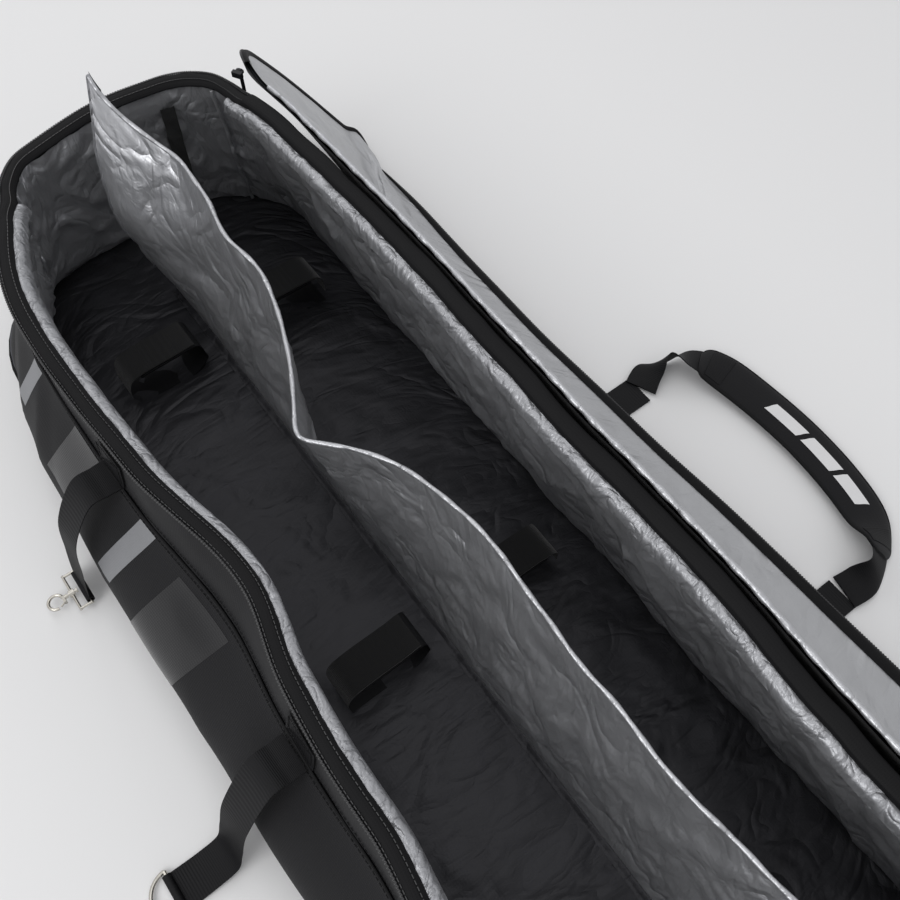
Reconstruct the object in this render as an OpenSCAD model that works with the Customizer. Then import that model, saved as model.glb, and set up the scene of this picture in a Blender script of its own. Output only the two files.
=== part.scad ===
// Long padded ski bag, shown open: a tub with a divider, a hinged lid, straps and webs.
// Frame: X runs along the bag, +Y towards the lid's hinge, +Z up. Millimetres.
// The origin is the centre of the base on the floor.

/* [Body] */
// Overall length of the base
body_len = 1700; // [1300:10:2100]
// Overall width of the base at its widest
body_w = 450; // [360:5:560]
// Height of the open rim above the floor
rim_h = 230; // [180:5:300]
// How far the rim stands inside the widest part of the wall
rim_inset = 55; // [30:1:80]
// Plan radius of the wall's corners at their widest
plan_r = 145; // [110:1:175]
// Height of the widest part of the wall
bulge_h = 60; // [40:1:90]
// Height of the upper band between the seam and the rim
band_h = 65; // [50:1:90]

/* [Layers] */
// Thickness of the outer cloth
cloth_t = 1.5; // [1:0.1:2.5]
// Thickness of the wall and floor foam
foam_t = 5; // [3:0.5:8]
// Thickness of the silver lining
lining_t = 1; // [0.6:0.1:1.6]
// Gap between neighbouring layers
layer_gap = 0.2; // [0.1:0.05:0.4]

/* [Lid] */
// Slope of the lid panel next to the hinge, below level
root_slope = 72; // [70:0.5:74]
// Height of the lid's fold above the floor
fold_rise = 12.5; // [10:0.5:20]
// Foam thickness in the lid
lid_foam_t = 4; // [3:0.5:5]
// Width of the zip tape
zip_w = 11; // [8:0.5:14]

/* [Divider] */
// How far the divider's hem stays below the rim
divider_drop = 28; // [24:1:80]
// Lean of the divider towards the hinge side
divider_lean = 10; // [4:0.5:14]
// Height of the loose far corner above the divider's fold
corner_rise = 83; // [50:1:100]

/* [Webs] */
// Width of the webbing
web_w = 38; // [25:1:50]
// Thickness of the webbing
web_t = 2; // [1.2:0.1:3]
// Place of the carry loop's middle along the bag
carry_x = -95; // [-300:5:100]
// Distance between the carry loop's two webs
carry_span = 320; // [260:2:400]
// How far the padded sleeve reaches past each side of the webbing
pad_side = 4; // [3:0.5:10]
// Thickness of the padded sleeve
pad_t = 11; // [8:0.5:15]
// Place of the far side web along the bag
side_far_x = -420; // [-560:5:-300]
// Place of the near side web along the bag
side_near_x = -100; // [-200:5:100]

/* [Ski straps] */
// Width of a ski strap
strap_w = 42; // [30:1:50]
// Height inside a fastened ski strap
strap_h = 52; // [40:1:70]
// Inside span of a fastened ski strap
strap_span = 96; // [80:1:110]
// Place of the far pair of ski straps
strap_far_x = -605; // [-700:5:-450]
// Place of the near pair of ski straps
strap_near_x = -160; // [-260:5:200]

/* [Hidden] */
$fn = 72;
clear = 0.4;                                   // between different moving bodies
seam_h = rim_h - band_h;
divider_h = rim_h - divider_drop;
pad_w = web_w + 2 * pad_side;
cx = body_len / 2 - plan_r;                    // corner centres in plan
cy = body_w / 2 - plan_r;
r_floor = plan_r - 6;
r_rim = plan_r - rim_inset;
r_seam = r_rim + 9;
rim_y = cy + r_rim;
floor_top = cloth_t + foam_t + lining_t + 2 * layer_gap + 1;
d_foam = cloth_t + layer_gap;
d_lining = d_foam + foam_t + layer_gap;
d_inner = d_lining + lining_t;
wall_top = rim_h - 10;

hinge_y = rim_y + 7;
hinge_z = rim_h + 8;
lid_reach = hinge_y + rim_y;                   // hinge line to the closed lid's free edge
lid_root_w = (hinge_z - fold_rise) / sin(root_slope);
tip_w = lid_reach - lid_root_w;
lid_c1 = hinge_y - cy;                         // corner centres measured from the hinge
lid_c2 = hinge_y + cy;
fold_y = hinge_y + lid_root_w * cos(root_slope);
fold_z = fold_rise;
tip_slope = asin((fold_z - 7) / (tip_w + 2));
tip_y = fold_y + (tip_w + 3) * cos(tip_slope);
shell_n = 0.2;
foam_n = 1.6;
lining_n = foam_n + lid_foam_t + 0.2;
fold_gap = 5;

foot_y = 5;
foot_z = floor_top + 2.4;
fold_h = divider_h + 5;
panel_far_x = -(cx + 3);
panel_near_x = cx + r_rim - 15;
corner_x = -(cx + 49);

carry_y = tip_y + 9;                           // carry loop's lifting line
carry_z = 5;
leg_x = carry_span / 2;
pad_y = carry_y + 72;
arc_r = 8;
pad_half = leg_x - web_w / 2 - arc_r + 10;

side_y = -(cy + r_seam + 4);                   // swinging line of the side webs
side_z = seam_h + 1;
side_arc = 30;
side_out = side_y - 28;
side_slant = 13;                               // from upright
eye_z = 10.4;
ring_z = 4.8;
top_y = side_out - side_arc * cos(side_slant);
top_z = side_z - side_arc + side_arc * sin(side_slant);
far_fall = (top_z - eye_z) / cos(side_slant) - 2.8;
near_fall = (top_z - ring_z + 1.2) / cos(side_slant);
eye_y = top_y - (far_fall + 2.8) * sin(side_slant);
near_drop_y = top_y - near_fall * sin(side_slant);
ring_y = near_drop_y - 66;
barrel_y = eye_y - 13;
hook_r = 8;
hook_y = barrel_y - hook_r - 10;
gate_dx = 4.8;

slide_a = 60;                                  // slider's rest angle round the corner
pull_r = r_rim + 12.2;

strap_y_zip = -(foot_y + 16 + strap_span);     // strap edges nearest the zip side
strap_y_hinge = foot_y + 42;
strap_z = floor_top + 0.4;

cloth_c = [0.10, 0.10, 0.11];
silver_c = [0.66, 0.67, 0.69];
foam_c = [0.30, 0.30, 0.32];
web_c = [0.05, 0.05, 0.055];
metal_c = [0.80, 0.78, 0.72];

// Radius of the wall's outer face from the corner centre, at height z
function wall_r(z) = lookup(z, [[0, r_floor], [bulge_h, plan_r], [seam_h, r_seam], [rim_h, r_rim]]);

// Heights where the wall's profile bends between za and zb
function bends(za, zb) = [for (z = [bulge_h, seam_h]) if (z > za + 1 && z < zb - 1) z];

// Layer of the wall between depths d0 and d1, from height za to zb
module layer(za, zb, d0, d1) {
    up = concat([za], bends(za, zb), [zb]);
    n = len(up) - 1;
    outer = [for (z = up) [wall_r(z) - d0, z]];
    inner = [for (i = [n : -1 : 0]) [wall_r(up[i]) - d1, up[i]]];
    polygon(concat(outer, inner));
}

// Sweeps a wall section along the hinge side; the zip side is its mirror image
module side_sweep(half) {
    translate([-half, cy, 0])
        rotate([90, 0, 90])
            linear_extrude(2 * half)
                children();
}

// Sweeps a wall section round the near end with both corners
module end_sweep() {
    translate([cx, cy, 0])
        rotate([90, 0, 0])
            linear_extrude(2 * cy)
                children();
    translate([cx, cy, 0])
        rotate_extrude(angle = 90)
            children();
    translate([cx, -cy, 0])
        rotate([0, 0, -90])
            rotate_extrude(angle = 90)
                children();
}

module to_zip_side() {
    mirror([0, 1, 0])
        children();
}

module to_far_end() {
    mirror([1, 0, 0])
        children();
}

// Sweeps a rim section round both ends and along the zip side
module rim_sweep() {
    end_sweep()
        children();
    to_far_end()
        end_sweep()
            children();
    to_zip_side()
        side_sweep(cx)
            children();
}

// Plan of the tub at radius r round the corner centres
module tub_plan(r) {
    square([2 * cx, 2 * (cy + r)], center = true);
    square([2 * (cx + r), 2 * cy], center = true);
    for (sx = [-1, 1], sy = [-1, 1])
        translate([sx * cx, sy * cy])
            circle(r);
}

module plate(r, z0, t) {
    translate([0, 0, z0])
        linear_extrude(t)
            tub_plan(r);
}

// Plan of the lid at radius r, measured along X and away from the hinge
module lid_plan(r) {
    translate([0, (lid_c1 + lid_c2) / 2]) {
        square([2 * cx, lid_c2 - lid_c1 + 2 * r], center = true);
        square([2 * (cx + r), lid_c2 - lid_c1], center = true);
    }
    for (sx = [-1, 1], w = [lid_c1, lid_c2])
        translate([sx * cx, w])
            circle(r);
}

// Part of the lid's plan between distances wa and wb from the hinge
module lid_strip(r, wa, wb) {
    intersection() {
        lid_plan(r);
        translate([-cx - r - 1, wa])
            square([2 * (cx + r + 1), wb - wa]);
    }
}

// Zip tape or coil outline round the lid's free edges
module lid_edge(r_out, r_in, wa, wb) {
    difference() {
        lid_strip(r_out, wa, wb);
        lid_plan(r_in);
        translate([-cx, -1])
            square([2 * cx, lid_c1]);
    }
}

module root_place() {
    translate([0, hinge_y, hinge_z])
        rotate([-root_slope, 0, 0])
            children();
}

// Children keep their distances from the hinge; the fold is the turning line
module tip_place() {
    translate([0, fold_y, fold_z])
        rotate([-tip_slope, 0, 0])
            translate([0, -lid_root_w, 0])
                children();
}

module lid_layer(n0, t) {
    translate([0, 0, n0])
        linear_extrude(t)
            children();
}

module divider_place() {
    translate([0, foot_y, foot_z])
        rotate([90 - divider_lean, 0, 0])
            children();
}

// ---- Tub ----
module floor_panel() {
    color(cloth_c) plate(r_floor, 0, cloth_t);
}

module floor_board() {
    color(foam_c) plate(r_floor - cloth_t - 0.6, d_foam, foam_t + 1);
}

module floor_lining() {
    color(silver_c) plate(r_floor - cloth_t - 0.6, d_foam + foam_t + 1 + layer_gap, lining_t);
}

module lower_cloth() {
    layer(cloth_t + layer_gap, seam_h - layer_gap, 0, cloth_t);
}

module side_hinge() {
    color(cloth_c) side_sweep(cx - layer_gap) lower_cloth();
}

module side_zip() {
    color(cloth_c) to_zip_side() side_sweep(cx - layer_gap) lower_cloth();
}

module end_near() {
    color(cloth_c) end_sweep() lower_cloth();
}

module end_far() {
    color(cloth_c) to_far_end() end_sweep() lower_cloth();
}

module upper_band() {
    color(cloth_c) {
        rim_sweep() layer(seam_h + layer_gap, rim_h - 6, 0, cloth_t);
        side_sweep(cx) layer(seam_h + layer_gap, rim_h - 6, 0, cloth_t);
    }
}

module foam_section() {
    layer(floor_top + 0.2, wall_top, d_foam, d_foam + foam_t);
}

module lining_section() {
    layer(floor_top + 0.2, wall_top, d_lining, d_inner);
}

module foam_hinge_side() {
    color(foam_c) side_sweep(cx - layer_gap) foam_section();
}

module foam_zip_side() {
    color(foam_c) to_zip_side() side_sweep(cx - layer_gap) foam_section();
}

module foam_ends() {
    color(foam_c) {
        end_sweep() foam_section();
        to_far_end() end_sweep() foam_section();
    }
}

module lining_hinge_side() {
    color(silver_c) side_sweep(cx - layer_gap) lining_section();
}

module lining_zip_side() {
    color(silver_c) to_zip_side() side_sweep(cx - layer_gap) lining_section();
}

module lining_near() {
    color(silver_c) end_sweep() lining_section();
}

module lining_far() {
    color(silver_c) to_far_end() end_sweep() lining_section();
}

module tub_zip_tape() {
    color(web_c)
        rim_sweep()
            polygon([
                [r_rim - zip_w, rim_h - 2],
                [r_rim - 0.6, rim_h - 2],
                [r_rim - 0.6, rim_h - 5.8],
                [r_rim + 1, rim_h - 5.8],
                [r_rim + 1, rim_h],
                [r_rim - zip_w, rim_h]
            ]);
}

module tub_zip_coil() {
    color(metal_c)
        rim_sweep()
            translate([r_rim + 1.2, rim_h - 1.8])
                square([1.8, 2]);
}

module rim_seam() {
    color(silver_c)
        to_zip_side()
            side_sweep(cx - 1)
                translate([r_rim - zip_w - 1.6, rim_h - 4.6])
                    circle(2.6, $fn = 28);
}

module hinge_binding() {
    color(web_c)
        side_sweep(cx - layer_gap)
            translate([r_rim - 10, rim_h - 5.6])
                square([15, 4.4]);
}

module end_tape() {
    intersection() {
        translate([0, cy - 36, 0])
            cube([4 * cx, 22, 3 * rim_h], center = true);
        translate([cx, cy, 0])
            rotate([90, 0, 0])
                linear_extrude(2 * cy)
                    layer(bulge_h + 4, wall_top - 6, d_inner + layer_gap, d_inner + 1.6);
    }
}

module loop_tapes() {
    color(web_c) {
        end_tape();
        to_far_end() end_tape();
    }
}

module divider_foot() {
    color(silver_c)
        translate([panel_far_x, foot_y - 8, floor_top + 0.1])
            cube([panel_near_x - panel_far_x, 16, 1.5]);
}

// ---- Side webs ----
module side_patch(x) {
    color(web_c)
        to_zip_side()
            translate([x, 0, 0])
                side_sweep(web_w / 2 + 3)
                    layer(seam_h + 4, seam_h + 38, -1.6, -layer_gap);
}

module side_patches() {
    side_patch(side_far_x);
    side_patch(side_near_x);
}

// Web section that leaves the wall, bends over and falls towards the floor
module side_web_section(fall) {
    translate([side_out, side_z - web_t / 2])
        square([side_y - 1 - side_out, web_t]);
    translate([side_out, side_z - side_arc])
        intersection() {
            difference() {
                circle(side_arc + web_t / 2);
                circle(side_arc - web_t / 2);
            }
            polygon([
                [0, 0],
                [0, 2 * side_arc],
                [-2 * side_arc, 2 * side_arc],
                [-2 * side_arc * cos(side_slant), 2 * side_arc * sin(side_slant)]
            ]);
        }
    translate([top_y, top_z])
        rotate(-side_slant)
            translate([-web_t / 2 + 0.2, -fall])
                square([web_t - 0.4, fall + 1.5]);
}

module across(x, w) {
    translate([x - w / 2, 0, 0])
        rotate([90, 0, 90])
            linear_extrude(w)
                children();
}

module web_far() {
    color(web_c)
        across(side_far_x, web_w)
            difference() {
                union() {
                    side_web_section(far_fall);
                    translate([eye_y, eye_z])
                        circle(3.6, $fn = 40);
                }
                translate([eye_y, eye_z])
                    circle(2, $fn = 40);
            }
}

// Frame held by the web's end loop, with a bored barrel for the hook's stem
module snap_eye() {
    color(metal_c)
        difference() {
            union() {
                for (y = [eye_y, barrel_y])
                    across(side_far_x, web_w + 8)
                        translate([y, eye_z])
                            circle(1.6, $fn = 36);
                for (s = [-1, 1])
                    translate([side_far_x + s * (web_w / 2 + 2.4), eye_y, eye_z])
                        rotate([90, 0, 0])
                            cylinder(h = eye_y - barrel_y, r = 1.6, $fn = 36);
                translate([side_far_x, barrel_y + 3, eye_z])
                    rotate([90, 0, 0])
                        cylinder(h = 6, r = 4);
            }
            translate([side_far_x, barrel_y + 4, eye_z])
                rotate([90, 0, 0])
                    cylinder(h = 8, r = 1.9);
        }
}

module snap_hook() {
    color(metal_c)
        translate([side_far_x, hook_y, eye_z]) {
            translate([0, hook_r + 16.4, 0])
                rotate([90, 0, 0])
                    cylinder(h = 1.6, r = 2.8);
            translate([0, hook_r + 15, 0])
                rotate([90, 0, 0])
                    cylinder(h = 13, r = 1.5);
            translate([0, hook_r + 5, 0])
                rotate([90, 0, 0])
                    cylinder(h = 5.4, r = 2.6);
            rotate([0, 0, 90])
                rotate_extrude(angle = 270)
                    translate([hook_r, 0])
                        circle(1.8, $fn = 32);
            for (z = [-2.9, 1.9])
                translate([0, hook_r - 1, z])
                    cube([gate_dx + 1.4, 2.8, 1]);
            translate([gate_dx, hook_r + 0.4, -2.4])
                cylinder(h = 4.8, r = 0.7, $fn = 28);
        }
}

module snap_gate() {
    color(metal_c)
        translate([side_far_x + gate_dx, hook_y + hook_r + 0.4, eye_z])
            difference() {
                union() {
                    cylinder(h = 3, r = 1.5, center = true, $fn = 32);
                    rotate([90, 0, 23])
                        cylinder(h = 6.6, r = 1.1, $fn = 32);
                }
                cylinder(h = 4, r = 0.95, center = true, $fn = 32);
            }
}

module web_near() {
    color(web_c)
        across(side_near_x, web_w)
            difference() {
                union() {
                    side_web_section(near_fall);
                    translate([ring_y, ring_z - 1.2 - web_t / 2])
                        square([near_drop_y - ring_y + 1.6, web_t]);
                    translate([ring_y, ring_z])
                        circle(4, $fn = 40);
                }
                translate([ring_y, ring_z])
                    circle(2.4, $fn = 40);
            }
}

module d_ring() {
    color(metal_c)
        translate([side_near_x, ring_y, ring_z]) {
            rotate([0, 90, 0])
                cylinder(h = web_w + 8, r = 2, center = true);
            rotate([0, 0, 180])
                rotate_extrude(angle = 180)
                    translate([web_w / 2 + 4, 0])
                        circle(2, $fn = 32);
        }
}

// ---- Carry loop ----
module carry_root(x) {
    color(web_c)
        across(x, web_w) {
            translate([cy, 0])
                layer(4, seam_h - 2, -web_t - 0.4, -0.4);
            translate([cy + wall_r(4) + 0.4, 0.3])
                square([carry_y - 3 - cy - wall_r(4) - 0.4, web_t]);
            translate([cy + wall_r(4) + 0.4, 0.3])
                square([web_t, 5]);
        }
}

module carry_roots() {
    carry_root(carry_x - leg_x);
    carry_root(carry_x + leg_x);
}

module carry_plan(w) {
    bend_x = leg_x - web_w / 2 - arc_r;
    bend_y = pad_y - web_w / 2 - arc_r;
    for (s = [-1, 1]) {
        translate([s * leg_x - w / 2, carry_y + 3])
            square([w, bend_y - carry_y - 3]);
        intersection() {
            translate([s * bend_x, bend_y])
                difference() {
                    circle(arc_r + (web_w + w) / 2);
                    circle(arc_r + (web_w - w) / 2);
                }
            translate([s > 0 ? bend_x : -bend_x - 2 * web_w, bend_y])
                square([2 * web_w, 2 * web_w]);
        }
    }
    translate([-bend_x, pad_y - w / 2])
        square([2 * bend_x, w]);
}

module carry_web() {
    color(web_c)
        translate([carry_x, 0, carry_z - web_t / 2])
            linear_extrude(web_t)
                carry_plan(web_w);
}

module pad_plan() {
    square([2 * pad_half - pad_w, pad_w], center = true);
    for (s = [-1, 1])
        translate([s * (pad_half - pad_w / 2), 0])
            circle(pad_w / 2);
}

module shoulder_pad() {
    color(cloth_c)
        translate([carry_x, 0, 0])
            difference() {
                translate([0, pad_y, 0.3])
                    linear_extrude(pad_t)
                        pad_plan();
                translate([0, 0, carry_z - web_t / 2 - 0.3])
                    linear_extrude(web_t + 0.6)
                        carry_plan(web_w + 0.6);
            }
}

module pad_patch(x) {
    color(web_c)
        translate([x, pad_y, pad_t + 1.3])
            cube([30, web_w - 6, 1.4], center = true);
}

module pad_patches() {
    pad_patch(carry_x - pad_half + 34);
    pad_patch(carry_x + pad_half - 34);
}

// ---- Ski straps ----
module arch(w, h, r) {
    square([w, h - r]);
    translate([r, 0])
        square([w - 2 * r, h]);
    for (y = [r, w - r])
        translate([y, h - r])
            circle(r);
}

// Base web: across the floor, up the inner side and over two thirds of the top
module strap_base(x, y0, s) {
    color(web_c)
        across(x, strap_w)
            translate([y0, strap_z])
                translate([s > 0 ? 0 : strap_span, 0])
                    mirror([s > 0 ? 0 : 1, 0]) {
                        difference() {
                            translate([-web_t, 0])
                                arch(strap_span + 2 * web_t, strap_h + web_t, 18 + web_t);
                            translate([0, -1])
                                arch(strap_span, strap_h + 1, 18);
                            translate([-web_t - 1, -1])
                                square([strap_span * 0.35 + web_t + 1, strap_h + web_t + 2]);
                        }
                        square([strap_span + web_t, web_t]);
                    }
}

// Flap web: up from the wall side and over, lying on the base web
module strap_flap(x, y0, s) {
    e = web_t + clear;
    color(web_c)
        across(x, strap_w - 2)
            translate([y0, strap_z])
                translate([s > 0 ? 0 : strap_span, 0])
                    mirror([s > 0 ? 0 : 1, 0])
                        intersection() {
                            difference() {
                                translate([-e - web_t, 0])
                                    arch(strap_span + 2 * (e + web_t), strap_h + e + web_t, 18 + e + web_t);
                                translate([-e, -1])
                                    arch(strap_span + 2 * e, strap_h + e + 1, 18 + e);
                            }
                            translate([-e - web_t - 1, 2])
                                square([strap_span * 0.68 + e, strap_h + 2 * e + 2]);
                        }
}

module strap_zip_far_base() {
    strap_base(strap_far_x, strap_y_zip, 1);
}

module strap_zip_near_base() {
    strap_base(strap_near_x, strap_y_zip, 1);
}

module strap_hinge_far_base() {
    strap_base(strap_far_x, strap_y_hinge, -1);
}

module strap_hinge_near_base() {
    strap_base(strap_near_x, strap_y_hinge, -1);
}

module strap_zip_far_flap() {
    strap_flap(strap_far_x, strap_y_zip, 1);
}

module strap_zip_near_flap() {
    strap_flap(strap_near_x, strap_y_zip, 1);
}

module strap_hinge_far_flap() {
    strap_flap(strap_far_x, strap_y_hinge, -1);
}

module strap_hinge_near_flap() {
    strap_flap(strap_near_x, strap_y_hinge, -1);
}

// ---- Lid ----
root_in = lid_c1 - r_rim;
root_end = lid_root_w - fold_gap;
tip_start = lid_root_w + fold_gap;

module lid_roll() {
    color(silver_c)
        root_place()
            translate([-cx + 1, root_in - 3.2, 3])
                rotate([0, 90, 0])
                    cylinder(h = 2 * cx - 2, r = 2.8, $fn = 32);
}

module lid_root_shell() {
    color(cloth_c)
        root_place()
            lid_layer(shell_n, 1.2)
                lid_strip(r_rim - zip_w - 0.2, root_in, lid_root_w - 1.5);
}

module lid_root_foam() {
    color(foam_c)
        root_place()
            lid_layer(foam_n, lid_foam_t)
                lid_strip(r_rim - zip_w - 0.4, root_in, root_end);
}

module lid_root_lining() {
    color(silver_c)
        root_place()
            lid_layer(lining_n, 0.8)
                lid_strip(r_rim - zip_w - 0.4, root_in, root_end);
}

module lid_root_tape(s) {
    color(web_c)
        root_place()
            lid_layer(1, 2)
                intersection() {
                    lid_edge(r_rim, r_rim - zip_w, 0, root_end);
                    translate([s > 0 ? cx : -cx - 2 * r_rim, 0])
                        square([2 * r_rim, lid_reach]);
                }
}

module lid_root_tapes() {
    lid_root_tape(-1);
    lid_root_tape(1);
}

module lid_tip_shell() {
    color(cloth_c)
        tip_place()
            lid_layer(shell_n, 1.2)
                lid_strip(r_rim - zip_w - 0.2, lid_root_w + 1.5, lid_reach);
}

module lid_tip_foam() {
    color(foam_c)
        tip_place()
            lid_layer(foam_n, lid_foam_t)
                lid_strip(r_rim - zip_w - 0.4, tip_start, lid_reach);
}

module lid_tip_lining() {
    color(silver_c)
        tip_place()
            lid_layer(lining_n, 0.8)
                lid_strip(r_rim - zip_w - 0.4, tip_start, lid_reach);
}

module lid_tip_tape() {
    color(web_c)
        tip_place()
            lid_layer(1, 2)
                lid_edge(r_rim, r_rim - zip_w, tip_start, lid_reach);
}

module lid_tip_coil() {
    color(metal_c)
        tip_place()
            lid_layer(1, 1.8)
                lid_edge(r_rim + 1.8, r_rim + 0.2, tip_start, lid_reach + 2);
}

// ---- Divider ----
module divider_panel() {
    color(silver_c)
        divider_place()
            translate([0, 0, -1.5])
                linear_extrude(3)
                    polygon([
                        [panel_far_x, 1],
                        [panel_near_x, 1],
                        [panel_near_x, divider_h - 3],
                        [corner_x + 2, divider_h - 3]
                    ]);
}

module divider_hem() {
    color(silver_c)
        divider_place()
            translate([corner_x + 2, divider_h, 0])
                rotate([0, 90, 0])
                    cylinder(h = panel_near_x - corner_x - 2, r = 2.5, $fn = 32);
}

module divider_near_tape() {
    color(web_c)
        divider_place()
            translate([panel_near_x - 22, 20, 1.7])
                cube([20, divider_h - 50, 1.3]);
}

module divider_corner() {
    color(silver_c)
        divider_place()
            translate([0, fold_h, -1.5])
                linear_extrude(3)
                    polygon([
                        [corner_x, 5],
                        [corner_x + 152, 5],
                        [corner_x + 76, corner_rise * 0.28],
                        [corner_x + 28, corner_rise * 0.58],
                        [corner_x - 4, corner_rise]
                    ]);
}

module divider_tab() {
    color(web_c)
        divider_place()
            translate([corner_x + 1, fold_h + corner_rise * 0.42, 1.7])
                cube([13, corner_rise * 0.3, 1.4]);
}

// ---- Zip sliders ----
// Local frame at a corner: X is radial, Y runs along the coil, Z is up
module slider_place(a) {
    translate([cx, cy, 0])
        rotate([0, 0, a])
            children();
}

module slider_body() {
    color(metal_c)
        slider_place(slide_a) {
            translate([r_rim + 3.6, -6, rim_h - 6])
                cube([5, 12, 7]);
            for (s = [-1, 1])
                translate([r_rim + 8, s * 3.4 - 0.9, rim_h - 4])
                    cube([5.6, 1.8, 3.4]);
            translate([pull_r, 0, rim_h - 2.3])
                rotate([90, 0, 0])
                    cylinder(h = 7, r = 1, center = true, $fn = 28);
        }
}

module pull_body() {
    color(metal_c)
        slider_place(slide_a)
            translate([pull_r, 0, rim_h - 2.3])
                rotate([90, 0, 0])
                    linear_extrude(4, center = true)
                        difference() {
                            union() {
                                circle(2.8, $fn = 32);
                                translate([-0.9, -28])
                                    square([1.8, 27]);
                            }
                            circle(1.4, $fn = 32);
                        }
}

module slider_near() {
    slider_body();
}

module pull_near() {
    pull_body();
}

module slider_far() {
    to_far_end() slider_body();
}

module pull_far() {
    to_far_end() pull_body();
}

floor_panel();
floor_board();
floor_lining();
side_zip();
side_hinge();
end_far();
end_near();
upper_band();
foam_zip_side();
foam_hinge_side();
foam_ends();
lining_zip_side();
lining_hinge_side();
lining_far();
lining_near();
tub_zip_tape();
tub_zip_coil();
rim_seam();
hinge_binding();
loop_tapes();
divider_foot();
side_patches();
carry_roots();
strap_zip_far_base();
strap_zip_near_base();
strap_hinge_far_base();
strap_hinge_near_base();
strap_zip_far_flap();
strap_zip_near_flap();
strap_hinge_far_flap();
strap_hinge_near_flap();
lid_roll();
lid_root_shell();
lid_root_foam();
lid_root_lining();
lid_root_tapes();
lid_tip_shell();
lid_tip_foam();
lid_tip_lining();
lid_tip_tape();
lid_tip_coil();
divider_panel();
divider_hem();
divider_near_tape();
divider_corner();
divider_tab();
slider_far();
pull_far();
slider_near();
pull_near();
web_far();
snap_eye();
snap_hook();
snap_gate();
web_near();
d_ring();
carry_web();
shoulder_pad();
pad_patches();
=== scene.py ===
"""Looks of the open ski bag, built round the frame's CAD.

The tub, lid and divider are lofted cloth: a flat cut is laid out as a grid and
every point of it is carried to its place by a mapping made from real sizes,
with folds, sag and creases on top.  Lengths are metres; +Z is up.
"""
import logging
import math
from dataclasses import dataclass, field
from enum import Enum
from typing import Any, Callable, Sequence

import bmesh
import bpy
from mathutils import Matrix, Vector, noise

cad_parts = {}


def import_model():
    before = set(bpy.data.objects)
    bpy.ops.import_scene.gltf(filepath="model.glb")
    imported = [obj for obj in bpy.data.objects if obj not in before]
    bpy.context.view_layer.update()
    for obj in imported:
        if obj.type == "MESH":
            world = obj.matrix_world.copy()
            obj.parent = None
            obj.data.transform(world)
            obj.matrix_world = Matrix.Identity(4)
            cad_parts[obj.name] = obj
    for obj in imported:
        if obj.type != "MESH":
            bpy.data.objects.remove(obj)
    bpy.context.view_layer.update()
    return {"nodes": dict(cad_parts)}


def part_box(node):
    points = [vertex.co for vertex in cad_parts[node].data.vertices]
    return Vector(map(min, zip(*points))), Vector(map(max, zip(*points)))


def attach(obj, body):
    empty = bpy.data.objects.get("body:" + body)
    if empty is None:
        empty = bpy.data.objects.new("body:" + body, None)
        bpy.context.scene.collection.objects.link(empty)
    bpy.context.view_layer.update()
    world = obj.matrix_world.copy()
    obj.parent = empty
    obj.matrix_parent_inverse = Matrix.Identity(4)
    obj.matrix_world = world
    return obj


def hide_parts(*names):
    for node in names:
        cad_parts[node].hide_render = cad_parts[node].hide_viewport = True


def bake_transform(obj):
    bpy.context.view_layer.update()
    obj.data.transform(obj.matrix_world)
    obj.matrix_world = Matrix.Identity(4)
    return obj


logging.basicConfig(level=logging.INFO, format="%(message)s")
LOG = logging.getLogger("ski_bag")

MM = 0.001
# Size, stretch and depth of each crease layer, as shares of the finish's own
CREASE_LAYERS = ((1.0, 0.8, 1.0), (0.42, 0.4, 0.34), (0.17, 0.8, 0.08))
COIL_PITCH = 3 * MM  # drawn coarser than the real 1.5 mm so that it shows
ARCH_POINTS = 19
# Across the bag and up: the carry loop's root, down the wall and out along the floor
ROOT_KNOTS = (
    (0.180, 0.158), (0.206, 0.110), (0.2275, 0.062), (0.224, 0.014),
    (0.245, 0.0015), (0.30, 0.0014), (0.3705, 0.003),
)
UP = Vector((0, 0, 1))
Place = Callable[[float, float], Vector]
Frame = tuple[Vector, Vector, Vector]


# ---------------------------------------------------------------- small maths
def ramp(low: float, high: float, value: float) -> float:
    """Smooth step from 0 at low to 1 at high.

    Args:
        low: Where the step starts.
        high: Where it ends; it may be below low.
        value: The place asked for.

    Returns:
        A number from 0 to 1.
    """
    t = min(max((value - low) / (high - low), 0.0), 1.0)
    return t * t * (3 - 2 * t)


def bell(value: float, middle: float, spread: float) -> float:
    """Bell curve of height 1.

    Args:
        value: The place asked for.
        middle: Where the bell stands.
        spread: Its standard deviation.

    Returns:
        A number from 0 to 1.
    """
    return math.exp(-0.5 * ((value - middle) / spread) ** 2)


def along_knots(knots: Sequence[tuple[float, float]], value: float) -> float:
    """Smooth curve through a few knots.

    Args:
        knots: Pairs of place and height, in rising order of place.
        value: The place asked for.

    Returns:
        The height there, level beyond both ends.
    """
    if value <= knots[0][0]:
        return knots[0][1]
    for i in range(len(knots) - 1):
        (x0, y0), (x1, y1) = knots[i], knots[i + 1]
        if value <= x1:
            before = knots[max(i - 1, 0)]
            after = knots[min(i + 2, len(knots) - 1)]
            step = x1 - x0
            m0 = (y1 - before[1]) / max(x1 - before[0], 1e-9) * step
            m1 = (after[1] - y0) / max(after[0] - x0, 1e-9) * step
            t = (value - x0) / step
            return (
                (2 * t**3 - 3 * t**2 + 1) * y0
                + (t**3 - 2 * t**2 + t) * m0
                + (3 * t**2 - 2 * t**3) * y1
                + (t**3 - t**2) * m1
            )
    return knots[-1][1]


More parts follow.
